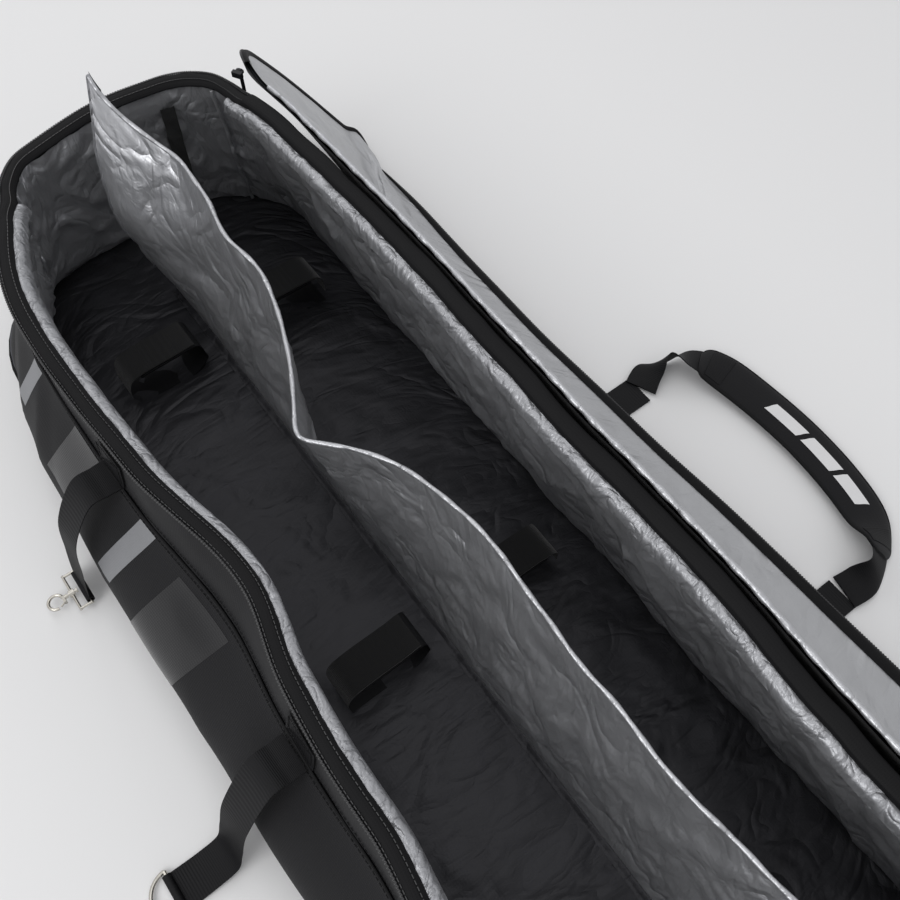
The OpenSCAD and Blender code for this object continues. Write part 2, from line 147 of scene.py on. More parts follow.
def through(points: Sequence[Vector], t: float) -> Vector:
    """Point on a smooth curve through a few points.

    Args:
        points: The points the curve passes.
        t: From 0 at the first point to 1 at the last.

    Returns:
        The point at t.
    """
    last = len(points) - 1
    place = min(max(t, 0.0), 1.0) * last
    i = min(int(place), last - 1)
    f = place - i
    a = points[max(i - 1, 0)]
    b, c = points[i], points[i + 1]
    d = points[min(i + 2, last)]
    return 0.5 * (
        2 * b + (c - a) * f + (2 * a - 5 * b + 4 * c - d) * f**2 + (3 * b - a - 3 * c + d) * f**3
    )


def crease(place: Vector, size: float, seed: float) -> float:
    """Sharp crease lines with soft hollows between them.

    Args:
        place: Where on the cloth.
        size: Distance between creases.
        seed: Picks the pattern.

    Returns:
        From about 0 in a hollow to 1 on a crease.
    """
    p = place / size + Vector((seed, 3.1 * seed, -seed))
    warp = 0.7 * noise.noise(p * 0.6 + Vector((9.0, 0.0, 0.0)))
    return 1 - min(abs(noise.noise(p + Vector((warp, -warp, warp)))) * 2.6, 1.0)


def crumple(place: Vector, size: float, seed: float) -> float:
    """Crumpled sheet: creases at three sizes.

    Args:
        place: Where on the cloth.
        size: Distance between the largest creases.
        seed: Picks the pattern.

    Returns:
        From about 0 to 1.
    """
    large = crease(place, size, seed)
    middle = crease(place, size * 0.47, seed + 5)
    small = crease(place, size * 0.21, seed + 11)
    return 0.56 * large + 0.29 * middle + 0.15 * small


# ------------------------------------------------------------------- meshes
def finish_piece(name: str, bm: bmesh.types.BMesh, sharp: float = 50.0) -> bpy.types.Object:
    """Turns a bmesh into a linked object with smooth faces and sharp corners.

    Args:
        name: The piece's name.
        bm: The mesh, which is freed.
        sharp: Angle in degrees past which an edge stays sharp.

    Returns:
        The new object, at the origin.
    """
    for face in bm.faces:
        face.smooth = True
    mesh = bpy.data.meshes.new(name)
    bm.to_mesh(mesh)
    bm.free()
    mesh.set_sharp_from_angle(angle=math.radians(sharp))
    piece = bpy.data.objects.new(name, mesh)
    bpy.context.scene.collection.objects.link(piece)
    LOG.info("piece %s: %d faces", name, len(mesh.polygons))
    return piece


def lay_out(cells: tuple[int, int], place: Place, size: tuple[float, float]) -> bmesh.types.BMesh:
    """Lays out a flat cut as a grid and carries it to its place.

    Args:
        cells: Cells along and across the cut.
        place: Carries (along, across), both from 0 to 1, to a point.
        size: Flat length and width, which scale the UV map in metres.

    Returns:
        The mesh.
    """
    bm = bmesh.new()
    bmesh.ops.create_grid(bm, x_segments=cells[0], y_segments=cells[1], size=0.5)
    flat = bm.loops.layers.uv.new("flat")
    for face in bm.faces:
        for loop in face.loops:
            co = loop.vert.co
            loop[flat].uv = ((co.x + 0.5) * size[0], (co.y + 0.5) * size[1])
    for vert in bm.verts:
        vert.co = place(vert.co.x + 0.5, vert.co.y + 0.5)
    return bm


def cloth(
    name: str,
    cells: tuple[int, int],
    place: Place,
    size: tuple[float, float],
    thick: float = 0.0,
    closed: bool = False,
    turned: bool = False,
) -> bpy.types.Object:
    """Sheet of cloth, laid out flat and carried to its place.

    Args:
        name: The piece's name.
        cells: Cells along and across the cut.
        place: Carries (along, across), both from 0 to 1, to a point.
        size: Flat length and width.
        thick: Thickness given to the sheet, or 0 for none.
        closed: Whether the cut meets itself along or across.
        turned: Whether its face is turned round.

    Returns:
        The new piece.
    """
    bm = lay_out(cells, place, size)
    if closed:
        bmesh.ops.remove_doubles(bm, verts=bm.verts[:], dist=1e-5)
    if turned:
        bmesh.ops.reverse_faces(bm, faces=bm.faces[:])
    if thick:
        bmesh.ops.solidify(bm, geom=bm.faces[:], thickness=thick)
    return finish_piece(name, bm)


def skin(
    name: str,
    cells: tuple[int, int],
    place: Place,
    size: tuple[float, float],
    ring: bool = False,
) -> bpy.types.Object:
    """Closed skin that meets itself across the cut, with capped ends.

    Args:
        name: The piece's name.
        cells: Cells along it and round it.
        place: Carries (along, round), both from 0 to 1, to a point.
        size: Flat length and girth.
        ring: Whether its ends meet, so that they need no cap.

    Returns:
        The new piece.
    """
    bm = lay_out(cells, place, size)
    bmesh.ops.remove_doubles(bm, verts=bm.verts[:], dist=1e-5)
    if not ring:
        bmesh.ops.holes_fill(bm, edges=[e for e in bm.edges if e.is_boundary], sides=0)
    bmesh.ops.recalc_face_normals(bm, faces=bm.faces[:])
    return finish_piece(name, bm)


def tube(
    name: str,
    path: Callable[[float], Frame],
    length: float,
    radius: Callable[[float], float],
    steps: int,
    sides: int = 10,
    ring: bool = False,
) -> bpy.types.Object:
    """Round tube along a path.

    Args:
        name: The piece's name.
        path: Gives the centre and two directions across it, at 0 to 1.
        length: Length of the path, for the UV map.
        radius: Radius at 0 to 1.
        steps: Rings along the path.
        sides: Sides round it.
        ring: Whether the path meets itself.

    Returns:
        The new piece.
    """

    def place(t: float, v: float) -> Vector:
        """Point of the tube."""
        turn = v * math.tau
        centre, side, up = path(t)
        return centre + radius(t) * (side * math.cos(turn) + up * math.sin(turn))

    return skin(name, (steps, sides), place, (length, math.tau * radius(0.5)), ring)


def coil_tube(name: str, path: Callable[[float], Frame], length: float) -> bpy.types.Object:
    """Zip coil along a path, as a tube that swells at each tooth.

    Args:
        name: The piece's name.
        path: Gives the centre and two directions across it, at 0 to 1.
        length: Length of the path.

    Returns:
        The new piece.
    """

    def radius(t: float) -> float:
        """Radius of the coil."""
        return 1.15 * MM + 0.5 * MM * math.sin(math.tau * t * length / COIL_PITCH)

    return tube(name, path, length, radius, int(length / COIL_PITCH * 4), 6)


def strip(
    name: str,
    points: Sequence[Vector],
    across: Sequence[Vector],
    width: float,
    thick: float,
    steps: int = 60,
    cup: float = 0.0,
) -> bpy.types.Object:
    """Flat web that follows a curve.

    Args:
        name: The piece's name.
        points: Points on the web's middle line.
        across: Direction across the web at each point.
        width: Width of the web.
        thick: Its thickness.
        steps: Cells along it.
        cup: How far its edges curl up out of its plane.

    Returns:
        The new piece.
    """
    length = sum((b - a).length for a, b in zip(points, points[1:]))

    def place(u: float, v: float) -> Vector:
        """Point of the web."""
        centre = through(points, u)
        side = through(across, u).normalized()
        ahead = (through(points, min(u + 0.01, 1)) - through(points, max(u - 0.01, 0))).normalized()
        normal = ahead.cross(side).normalized()
        off = (v - 0.5) * 2
        return centre + side * (off * width / 2) + normal * (cup * off * off)

    return cloth(name, (steps, 8), place, (length, width), thick)


def stitches(
    name: str,
    line: Callable[[float], tuple[Vector, Vector]],
    length: float,
    pitch: float = 4 * MM,
    radius: float = 0.35 * MM,
) -> bpy.types.Object:
    """Row of thread stitches on a line.

    Args:
        name: The piece's name.
        line: Gives a point and the direction out of the cloth, at 0 to 1.
        length: Length of the line.
        pitch: Distance from stitch to stitch.
        radius: Half the thread's thickness.

    Returns:
        One piece with every stitch of the row.
    """
    bm = bmesh.new()
    count = max(int(length / pitch), 2)
    for i in range(count):
        a, out = line((i + 0.15) / count)
        b, _ = line((i + 0.85) / count)
        made = bmesh.ops.create_cube(bm, size=1.0)["verts"]
        ahead = (b - a) / 2
        side = ahead.normalized().cross(out).normalized()
        for vert in made:
            x, y, z = vert.co * 2
            lift = radius * (1.0 if z > 0 else -1.0)
            vert.co = (a + b) / 2 + ahead * x + side * (radius * y) + out * lift
    return finish_piece(name, bm, 80)


# ---------------------------------------------------------------- materials
def to_linear(colour: str) -> tuple[float, float, float, float]:
    """Turns an sRGB hex colour to linear.

    Args:
        colour: Such as "#9a9b9e".

    Returns:
        Linear red, green, blue and an alpha of 1.
    """
    parts = [int(colour[i : i + 2], 16) / 255 for i in (1, 3, 5)]
    line = [c / 12.92 if c <= 0.04045 else ((c + 0.055) / 1.055) ** 2.4 for c in parts]
    return (line[0], line[1], line[2], 1.0)


def add_node(
    tree: bpy.types.NodeTree,
    kind: str,
    settings: dict[str, Any] | None = None,
    inputs: dict[Any, Any] | None = None,
) -> bpy.types.Node:
    """Adds a node, sets it up and links it.

    Args:
        tree: The tree it goes into.
        kind: The node's type, without the ShaderNode in front.
        settings: Its own settings by name.
        inputs: Value, or another node's output, for each input.

    Returns:
        The new node.
    """
    node = tree.nodes.new("ShaderNode" + kind)
    for key, value in (settings or {}).items():
        setattr(node, key, value)
    for key, value in (inputs or {}).items():
        if isinstance(value, bpy.types.NodeSocket):
            tree.links.new(value, node.inputs[key])
        else:
            node.inputs[key].default_value = value
    return node


def math_node(tree: bpy.types.NodeTree, operation: str, *values: Any) -> bpy.types.NodeSocket:
    """Adds a maths node and gives its result.

    Args:
        tree: The tree it goes into.
        operation: What it works out.
        values: Its inputs, in order.

    Returns:
        The result's socket.
    """
    return add_node(tree, "Math", {"operation": operation}, dict(enumerate(values))).outputs[0]


def bump(
    tree: bpy.types.NodeTree,
    height: bpy.types.NodeSocket,
    strength: float,
    distance: float,
    under: bpy.types.NodeSocket | None,
) -> bpy.types.NodeSocket:
    """Adds a bump on top of another.

    Args:
        tree: The tree it goes into.
        height: Its height.
        strength: Share of the bump that shows.
        distance: How far the height reaches.
        under: Normal of the bump below, or None.

    Returns:
        The new normal's socket.
    """
    inputs: dict[Any, Any] = {"Height": height, "Strength": strength, "Distance": distance}
    if under is not None:
        inputs["Normal"] = under
    return add_node(tree, "Bump", inputs=inputs).outputs["Normal"]


@dataclass(frozen=True)
class Finish:
    """One finish: its colours, gloss and pattern sizes."""

    name: str
    slot: str
    colour: str
    second: str
    roughness: float = 0.7
    metallic: float = 0.0
    weave: float = 2.4 * MM
    weave_depth: float = 0.25 * MM
    crumple: float = 0.0
    crumple_depth: float = 0.0
    rib: bool = False
    sheen: float = 0.0
    coat: float = 0.0
    specular: float = 0.18
    mapped: bool = True

    def build(self) -> bpy.types.Material:
        """Makes the material.

        Returns:
            The node material.
        """
        material = bpy.data.materials.new(self.name)
        material.use_nodes = True
        tree = material.node_tree
        tree.nodes.clear()
        source = add_node(tree, "TexCoord")
        spot = source.outputs["UV" if self.mapped else "Object"]
        tone = add_node(
            tree, "TexNoise", inputs={"Vector": spot, "Scale": 28.0, "Detail": 5.0}
        )
        mix = add_node(
            tree,
            "Mix",
            {"data_type": "RGBA"},
            {
                "Factor": tone.outputs["Fac"],
                "A": to_linear(self.colour),
                "B": to_linear(self.second),
            },
        )
        rough = add_node(
            tree,
            "MapRange",
            inputs={
                "Value": tone.outputs["Fac"],
                "To Min": max(self.roughness - 0.07, 0.05),
                "To Max": min(self.roughness + 0.07, 1.0),
            },
        )
        normal = self.relief(tree, spot)
        inputs: dict[Any, Any] = {
            "Base Color": mix.outputs["Result"],
            "Roughness": rough.outputs["Result"],
            "Metallic": self.metallic,
            "Sheen Weight": self.sheen,
            "Coat Weight": self.coat,
            "Specular IOR Level": self.specular,
        }
        if normal is not None:
            inputs["Normal"] = normal
        shader = add_node(tree, "BsdfPrincipled", inputs=inputs)
        add_node(tree, "OutputMaterial", inputs={"Surface": shader.outputs["BSDF"]})
        return material

    def relief(
        self, tree: bpy.types.NodeTree, spot: bpy.types.NodeSocket
    ) -> bpy.types.NodeSocket | None:
        """Bump from creases, then from the weave.

        Args:
            tree: The material's tree.
            spot: Where on the cloth.

        Returns:
            The normal, or None for a smooth finish.
        """
        normal: bpy.types.NodeSocket | None = None
        for size, stretch, depth in CREASE_LAYERS if self.crumple else ():
            pulled = add_node(
                tree, "Mapping", inputs={"Vector": spot, "Scale": (1.0, stretch, 1.0)}
            )
            ridge = add_node(
                tree,
                "TexNoise",
                {"normalize": True},
                {
                    "Vector": pulled.outputs["Vector"],
                    "Scale": 1 / (self.crumple * size),
                    "Detail": 2.0,
                    "Roughness": 0.45,
                    "Distortion": 0.9,
                },
            )
            centred = math_node(tree, "SUBTRACT", ridge.outputs["Fac"], 0.5)
            fold = math_node(tree, "ABSOLUTE", centred)
            soft = math_node(tree, "SMOOTH_MIN", fold, 0.16, 0.06)
            normal = bump(tree, soft, 0.9, self.crumple_depth * depth, normal)
        if self.weave_depth:
            bands = [
                add_node(
                    tree,
                    "TexWave",
                    {"bands_direction": direction},
                    {
                        "Vector": spot,
                        "Scale": math.tau / 20 / self.weave,
                        "Distortion": 0.25,
                        "Detail": 1.0,
                        "Detail Scale": 1.5,
                    },
                ).outputs["Fac"]
                for direction in ("X" if self.rib else "XY")
            ]
            height = bands[0] if self.rib else math_node(tree, "MULTIPLY", *bands)
            normal = bump(tree, height, 0.7, self.weave_depth, normal)
        return normal


class Cloth(Enum):
    """The bag's finishes."""

    # Woven polyester oxford, matt black with a fine plain weave
    OXFORD = Finish(
        "woven polyester oxford",
        "outer_cloth",
        "#121214",
        "#19191b",
        0.80,
        weave_depth=0.22 * MM,
        sheen=0.05,
    )
    # Aluminised woven film, crinkled: pale metallic creases over a fine grid
    FILM = Finish(
        "aluminised woven film", "silver_lining", "#a9aaad", "#bdbec1", 0.33, 0.70,
        weave=2.6 * MM, weave_depth=0.05 * MM, crumple=60 * MM, crumple_depth=17 * MM,
    )
    # The same film gathered tightly into a seam, its colour darkened as painted shade inside the rim
    SHADED_SEAM_FILM = Finish(
        "gathered film with painted shade", "silver_lining", "#8e8f92", "#a6a7aa", 0.36, 0.6,
        weave=2.6 * MM, weave_depth=0.05 * MM, crumple=24 * MM, crumple_depth=10 * MM,
    )
    # The same film on the lid, set duller and less metallic as painted sky light: an even pale grey in
    # place of the bright sky's reflection
    SKY_LIT_LID_FILM = Finish(
        "lid film with painted sky light", "silver_lining", "#a4a5a7", "#b2b3b5", 0.46, 0.4,
        weave=2.6 * MM, weave_depth=0.05 * MM, crumple=75 * MM, crumple_depth=10 * MM,
    )
    # Film laid on the base board, its colour darkened as painted shade for the dark floors of the
    # compartments
    SHADED_FLOOR_FILM = Finish(
        "floor film with painted shade", "silver_lining", "#262628", "#343437", 0.42, 0.5,
        weave=2.6 * MM, weave_depth=0.05 * MM, crumple=60 * MM, crumple_depth=10 * MM,
    )
    # Polyester webbing: black ribs across its length
    WEBBING = Finish(
        "woven polyester webbing", "webbing", "#0c0c0e", "#141416", 0.62,
        weave=3 * MM, weave_depth=0.3 * MM, rib=True
    )
    # Knitted zip tape and folded binding: black with a low sheen
    TAPE = Finish(
        "knitted zip tape",
        "zip_tape",
        "#070708",
        "#0e0e10",
        0.66,
        weave=2 * MM,
        weave_depth=0.2 * MM,
    )
    # Moulded nylon zip coil: glossy black
    COIL = Finish(
        "moulded nylon coil",
        "zip_coil",
        "#101012",
        "#18181a",
        0.34,
        weave_depth=0.0,
        coat=0.2,
        specular=0.5,
    )
    # Hook-and-loop tape: dense black pile
    PILE = Finish(
        "hook and loop pile",
        "hook_tape",
        "#0f0f10",
        "#191919",
        0.92,
        weave=1.6 * MM,
        weave_depth=0.3 * MM,
        sheen=0.2,
    )
    # Padded sleeve cloth: smoother black nylon
    SLEEVE = Finish(
        "padded nylon sleeve",
        "pad_cloth",
        "#0e0e10",
        "#151517",
        0.70,
        weave_depth=0.15 * MM,
        sheen=0.05,
    )
    # Closed-cell polyethylene foam: grey, matt and finely pitted
    FOAM = Finish(
        "closed-cell foam",
        "foam",
        "#55565a",
        "#606166",
        0.9,
        weave_depth=0.0,
        crumple=9 * MM,
        crumple_depth=0.4 * MM,
    )
    # Screen-printed ink: plain grey, slightly glossy on the cloth
    INK = Finish(
        "screen-printed grey ink", "outer_cloth", "#77787a", "#838487", 0.5, weave_depth=0.2 * MM
    )
    # Screen-printed white ink on the sleeve
    LIGHT_INK = Finish(
        "screen-printed white ink", "pad_cloth", "#c9c9ca", "#d6d6d6", 0.55, weave_depth=0.12 * MM
    )
    # Screen-printed black ink: glossy patches on matt cloth
    GLOSS_INK = Finish(
        "screen-printed black ink",
        "outer_cloth",
        "#101012",
        "#18181a",
        0.3,
        weave_depth=0.15 * MM,
        coat=0.3,
    )
    # Cast zinc with nickel plating: bright and slightly worn
    NICKEL = Finish(
        "nickel-plated cast zinc",
        "",
        "#c9c6be",
        "#b9b5ac",
        0.24,
        1.0,
        weave_depth=0.0,
        specular=0.5,
        mapped=False,
    )
    # Painted cast zinc slider: black enamel with worn edges
    ENAMEL = Finish(
        "black enamelled zinc",
        "",
        "#18181a",
        "#242427",
        0.35,
        0.2,
        weave_depth=0.0,
        coat=0.3,
        mapped=False,
    )


_made: dict[str, bpy.types.Material] = {}


def dress(piece: bpy.types.Object, finish: Cloth) -> None:
    """Gives a piece its one finish, made the first time it is asked for."""
    if finish.value.name not in _made:
        _made[finish.value.name] = finish.value.build()
    piece.data.materials.clear()
    piece.data.materials.append(_made[finish.value.name])


def settle(
    piece: bpy.types.Object,
    finish: Cloth,
    body: str | None,
    *nodes: str,
) -> bpy.types.Object:
    """Dresses a finished piece and joins it to the frame.

    Args:
        piece: The piece, in place.
        finish: Its finish.
        body: The body it rides on, or None where it bends between two.
        nodes: CAD nodes it stands for.

    Returns:
        The piece.
    """
    dress(piece, finish)
    if body:
        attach(piece, body)
    if nodes:
        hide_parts(*nodes)
    return piece


# ----------------------------------------------------------------- the tub
@dataclass
class Plan:
    """Main sizes of the bag, read from the frame."""

    rim_r: float = 90 * MM
    floor_r: float = 139 * MM
    walk_r: float = 120 * MM
    cx: float = field(init=False)
    cy: float = field(init=False)
    rim: float = field(init=False)
    floor: float = field(init=False)
    legs: list[float] = field(init=False)
    length: float = field(init=False)
    marks: list[float] = field(init=False)

    def __post_init__(self) -> None:
        """Takes the corner centres, rim and floor heights from the frame."""
        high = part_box("floor_panel")[1]
        self.cx = high.x - self.floor_r
        self.cy = high.y - self.floor_r
        self.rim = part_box("tub_zip_tape")[1].z
        self.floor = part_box("floor_lining")[1].z
        arc = math.pi / 2 * self.walk_r
        self.legs = [2 * self.cx, arc, 2 * self.cy, arc, 2 * self.cx, arc, 2 * self.cy, arc]
        self.length = sum(self.legs)
        self.marks = [sum(self.legs[:i]) for i in range(9)]

    def walk(self, s: float) -> tuple[Vector, Vector]:
        """Place on the walk round the corner centres, from the near hinge corner to the far end.

        Args:
            s: Distance along the walk.

        Returns:
            The centre and the outward direction.
        """
        s = s % self.length
        i = 0
        while s > self.legs[i] and i < 7:
            s -= self.legs[i]
            i += 1
        corner = [(1, 1), (-1, 1), (-1, 1), (-1, -1), (-1, -1), (1, -1), (1, -1), (1, 1)][i]
        centre = Vector((corner[0] * self.cx, corner[1] * self.cy, 0))
        angle = math.pi / 2 * ((i + 1) // 2 + 1)
        if i % 2:
            angle += s / self.legs[i] * math.pi / 2 - math.pi / 2
            return centre, Vector((math.cos(angle), math.sin(angle), 0))
        out = Vector((math.cos(angle), math.sin(angle), 0))
        return centre + Vector((-out.y, out.x, 0)) * s, out

    def slump(self, centre: Vector, out: Vector) -> float:
        """How far the soft rim stands out of its drawn line.

        Args:
            centre: Place on the walk.
            out: Outward direction there.

        Returns:
            Distance outwards at the rim; negative is inwards.
        """
        x = centre.x
        zip_side = max(-out.y, 0.0) ** 2
        hinge_side = max(out.y, 0.0) ** 2
        in_end = ramp(0.70, 0.5, x)
        dip = -0.025 * bell(x, -0.235, 0.06) + 0.011 * bell(x, -0.545, 0.10)
        dip += 0.014 * ramp(0.0, 0.12, x) * in_end
        wave = -0.006 * bell(x, -0.69, 0.08) + 0.004 * bell(x, -0.42, 0.12)
        wave += 0.005 * bell(x, -0.01, 0.07) - 0.005 * bell(x, 0.2, 0.1)
        at = centre + out * self.rim_r
        far_end = 0.010 * max(-out.x, 0.0) ** 2 * bell(at.y, 0.02, 0.045)
        tight = -0.010 * bell((at - Vector((-0.728, 0.166, 0))).length, 0, 0.03)
        small = 0.0016 * noise.noise(Vector((x * 14, out.y * 3, out.x * 3)))
        return zip_side * dip + hinge_side * wave + far_end + tight + small

    def bulge(self, centre: Vector, out: Vector, z: float) -> float:
        """How far the whole wall stands out of its drawn line.

        Args:
            centre: Place on the walk.
            out: Outward direction there.
            z: Height.

        Returns:
            Distance outwards; negative is inwards.
        """
        at = centre + out * self.rim_r
        cut = -0.036 * bell((at - Vector((-0.738, -0.150, 0))).length, 0, 0.055)
        full = 0.024 * ramp(-0.66, -0.42, centre.x) * (1 - 0.5 * ramp(-0.15, 0.3, centre.x))
        full *= max(-out.y, 0.0) ** 2 * bell(z, 0.075, 0.045) * ramp(0.79, 0.55, centre.x)
        return cut * ramp(-0.01, 0.05, z) + full

    def at(self, s: float, r: float, z: float) -> Vector:
        """Point of the tub.

        Args:
            s: Distance along the walk.
            r: Distance from the corner centres.
            z: Height.

        Returns:
            The point, with the rim's slump in it.
        """
        centre, out = self.walk(s)
        reach = r + self.slump(centre, out) * (
            max(z, 0) / self.rim
        ) ** 2 + self.bulge(centre, out, z)
        dip = -0.004 * bell(centre.x, -0.235, 0.07) * max(-out.y, 0) * (z / self.rim) ** 3
        return centre + out * reach + Vector((0, 0, z + dip))


@dataclass
class Tub:
    """Cloth, foam, lining and rim of the tub."""

    plan: Plan
    cell: float = 6 * MM
    seam_z: float = 165 * MM
    band_top: float = 226 * MM
    wall: tuple[tuple[float, float], ...] = (
        (0.0, 0.136), (0.012, 0.1405), (0.035, 0.1438), (0.06, 0.1445),
        (0.11, 0.1245), (0.165, 0.0985), (0.20, 0.0932), (0.23, 0.0895),
    )

    hung: tuple[tuple[float, float], ...] = (
        (0.0, 0.116), (0.06, 0.1115), (0.12, 0.1030), (0.165, 0.0955),
        (0.20, 0.0875), (0.23, 0.0805),
    )

    def wall_r(self, z: float) -> float:
        """Radius of the wall's outer face at height z."""
        return along_knots(self.wall, z)

    def folds(self, s: float, z: float) -> float:
        """Soft folds of the outer cloth: how far out it stands."""
        centre, out = self.plan.walk(s)
        p = Vector((centre.x + out.x * 0.12, out.y * 0.3, z * 0.8))
        broad = noise.noise(p * 7 + Vector((3, 1, 0)))
        buckle = crease(Vector((p.x + z * 0.35, p.y, z * 0.4)), 0.16, 2.0)
        mid = math.sin(math.pi * min(z / self.seam_z, 1.0))
        return mid * (0.0045 * broad + 0.0045 * (buckle - 0.45)) - 0.001

    def outside(self, s: float, z: float, proud: float = 0.0) -> Vector:
        """Point on the outer cloth, or just proud of it."""
        r = self.wall_r(z) + proud
        if z < self.seam_z:
            r += self.folds(s, z)
        return self.plan.at(s, r, z)

    def inside(self, s: float, v: float) -> Vector:
        """Point of the crinkled lining.

        Args:
            s: Distance along the walk.
            v: From 0 at the floor to 1 at the rim.

        Returns:
            The point.
        """
        low, top = self.plan.floor + 0.002, self.plan.rim - 0.008
        z = low + (top - low) * v
        centre, out = self.plan.walk(s)
        p = centre + out * 0.12 + Vector((0, 0, z))
        free = math.sin(math.pi * min(v * 1.02, 1.0)) ** 0.6
        drape = noise.noise(Vector((p.x * 9 + z * 5, p.y * 9, z * 2.5)))
        wrinkle = crumple(Vector((p.x + 0.5 * z, p.y, z * 0.75)), 0.085, 1.0)
        top_pull = crease(Vector((p.x, p.y, z * 0.3)), 0.035, 8.0) * ramp(0.6, 1.0, v)
        depth = 0.0015 + 0.013 * free * (0.5 + 0.5 * drape) + 0.013 * (0.35 + 0.65 * free) * wrinkle
        depth += 0.003 * top_pull
        sag = -0.003 * free * noise.noise(p * 11)
        return self.plan.at(s, along_knots(self.hung, z) - depth, z + sag)

    def panel(self, name: str, s0: float, s1: float, *nodes: str) -> bpy.types.Object:
        """Lower outer panel between two seams.

        Args:
            name: The piece's name.
            s0: Where it starts on the walk.
            s1: Where it ends.
            nodes: CAD nodes it stands for.

        Returns:
            The piece.
        """
        run = s1 - s0

        def place(u: float, v: float) -> Vector:
            """Point of the panel, its ends tucked into the seams."""
            edge = min(u, 1 - u) * run
            tuck = -0.0016 * ramp(0.006, 0.0, edge)
            z = 0.0015 + (self.seam_z - 0.0015) * v
            return self.outside(s0 + run * u, z, tuck)

        piece = cloth(name, (int(run / self.cell), 30), place, (run, 0.19), 1.1 * MM)
        return settle(piece, Cloth.OXFORD, "tub", *nodes)

    def build_cloth(self) -> None:
        """Lower panels, upper band, piping and floor."""
        m, plan = self.plan.marks, self.plan
        self.panel("hinge_wall", m[0], m[1], "side_hinge")
        self.panel("far_wall", m[1], m[4], "end_far")
        self.panel("zip_wall", m[4], m[5], "side_zip")
        self.panel("near_wall", m[5], m[8], "end_near")

        def band(u: float, v: float) -> Vector:
            """Point of the upper band."""
            z = self.seam_z + 0.001 + (self.band_top - self.seam_z - 0.001) * v
            s = u * plan.length
            centre, out = plan.walk(s)
            pucker = 0.0012 * noise.noise(Vector((centre.x * 22 + out.x * 3, out.y * 4, z * 30)))
            return self.outside(s, z, pucker - 0.0006)

        piece = cloth(
            "band", (int(plan.length / self.cell), 12), band, (plan.length, 0.06), 1.1 * MM, True
        )
        settle(piece, Cloth.OXFORD, "tub", "upper_band")

        def piping(t: float) -> Frame:
            """Centre and directions of the seam's piping."""
            s = t * plan.length
            return plan.at(s, self.wall_r(self.seam_z) + 0.0006, self.seam_z), plan.walk(s)[1], UP

        welt = tube("seam_piping", piping, plan.length, lambda t: 1.5 * MM, 640, 8, True)
        settle(welt, Cloth.TAPE, "tub")
        for i, height in enumerate((self.seam_z - 0.006, self.seam_z + 0.006)):

            def row(t: float, z: float = height) -> tuple[Vector, Vector]:
                """Stitch line beside the piping."""
                s = t * plan.length
                return self.outside(s, z, 0.9 * MM), plan.walk(s)[1]

            thread = stitches(f"seam_stitch_{i}", row, plan.length, 5 * MM, 0.4 * MM)
            settle(thread, Cloth.TAPE, "tub")
        self.build_floor()

    def floor_layer(
        self, name: str, r: float, z: float, thick: float, relief: float
    ) -> bpy.types.Object:
        """Rounded sheet on the floor.

        Args:
            name: The piece's name.
            r: Plan radius.
            z: Height of its top face.
            thick: Thickness below that.
            relief: Height of its creases.

        Returns:
            The piece, not yet dressed.
        """
        plan = self.plan

        def place(u: float, v: float) -> Vector:
            """Point of the sheet."""
            y = (plan.cy + r) * math.sin(math.pi / 2 * (2 * v - 1))
            over = max(abs(y) - plan.cy, 0.0)
            x = (plan.cx + math.sqrt(max(r * r - over * over, 0.0))) * (2 * u - 1)
            edge = min(1.0, 6 * min(u, 1 - u, v, 1 - v) + 0.1)
            lift = relief * edge * crumple(Vector((x, y, 0)), 0.09, 4.0) if relief else 0.0
            return Vector((x, y, z + lift))

        size = (2 * (plan.cx + r), 2 * (plan.cy + r))
        cells = (190, 52) if relief else (90, 24)
        return cloth(name, cells, place, size, thick)

    def build_floor(self) -> None:
        """Bottom cloth, board and floor lining."""
        r = self.plan.floor_r
        base = self.floor_layer("bottom_cloth", r - 0.003, 1.5 * MM, 1.2 * MM, 0)
        settle(base, Cloth.OXFORD, "tub", "floor_panel")
        board = self.floor_layer("base_board", r - 0.007, 7.6 * MM, 5.5 * MM, 0)
        settle(board, Cloth.FOAM, "tub", "floor_board")
        # The floor's film is drawn dark with painted shade.
        film = self.floor_layer(
            "floor_film", r - 0.009, self.plan.floor - 0.4 * MM, 0.5 * MM, 3.5 * MM
        )
        settle(film, Cloth.SHADED_FLOOR_FILM, "tub", "floor_lining")

    def build_padding(self) -> None:
        """Foam of the walls, which follows the slumped cloth."""
        m = self.plan.marks
        runs = {
            "hinge_foam": (m[0] + 0.002, m[1] - 0.002, ["foam_hinge_side"]),
            "zip_foam": (m[4] + 0.002, m[5] - 0.002, ["foam_zip_side"]),
            "far_foam": (m[1], m[4], ["foam_ends"]),
            "near_foam": (m[5], m[8], []),
        }
        for name, (s0, s1, nodes) in runs.items():

            def place(u: float, v: float, a: float = s0, b: float = s1) -> Vector:
                """Point of the foam's outer face."""
                z = 0.010 + 0.205 * v
                return self.plan.at(a + (b - a) * u, self.wall_r(z) - 0.0072, z)

            piece = cloth(name, (int((s1 - s0) / 0.012), 16), place, (s1 - s0, 0.22), 4 * MM)
            settle(piece, Cloth.FOAM, "tub", *nodes)

    def build_lining(self) -> None:
        """Crinkled film of the four walls and its corner seams."""
        m = self.plan.marks
        arc = self.plan.legs[1]
        cuts = [
            m[0] - arc * 0.5, m[1] + arc * 0.5, m[3] + arc * 0.5, m[5] + arc * 0.5, m[7] + arc * 0.5
        ]
        names = ["hinge_film", "far_film", "zip_film", "near_film"]
        nodes = ["lining_hinge_side", "lining_far", "lining_zip_side", "lining_near"]
        for i, name in enumerate(names):
            s0, s1 = cuts[i], cuts[i + 1]

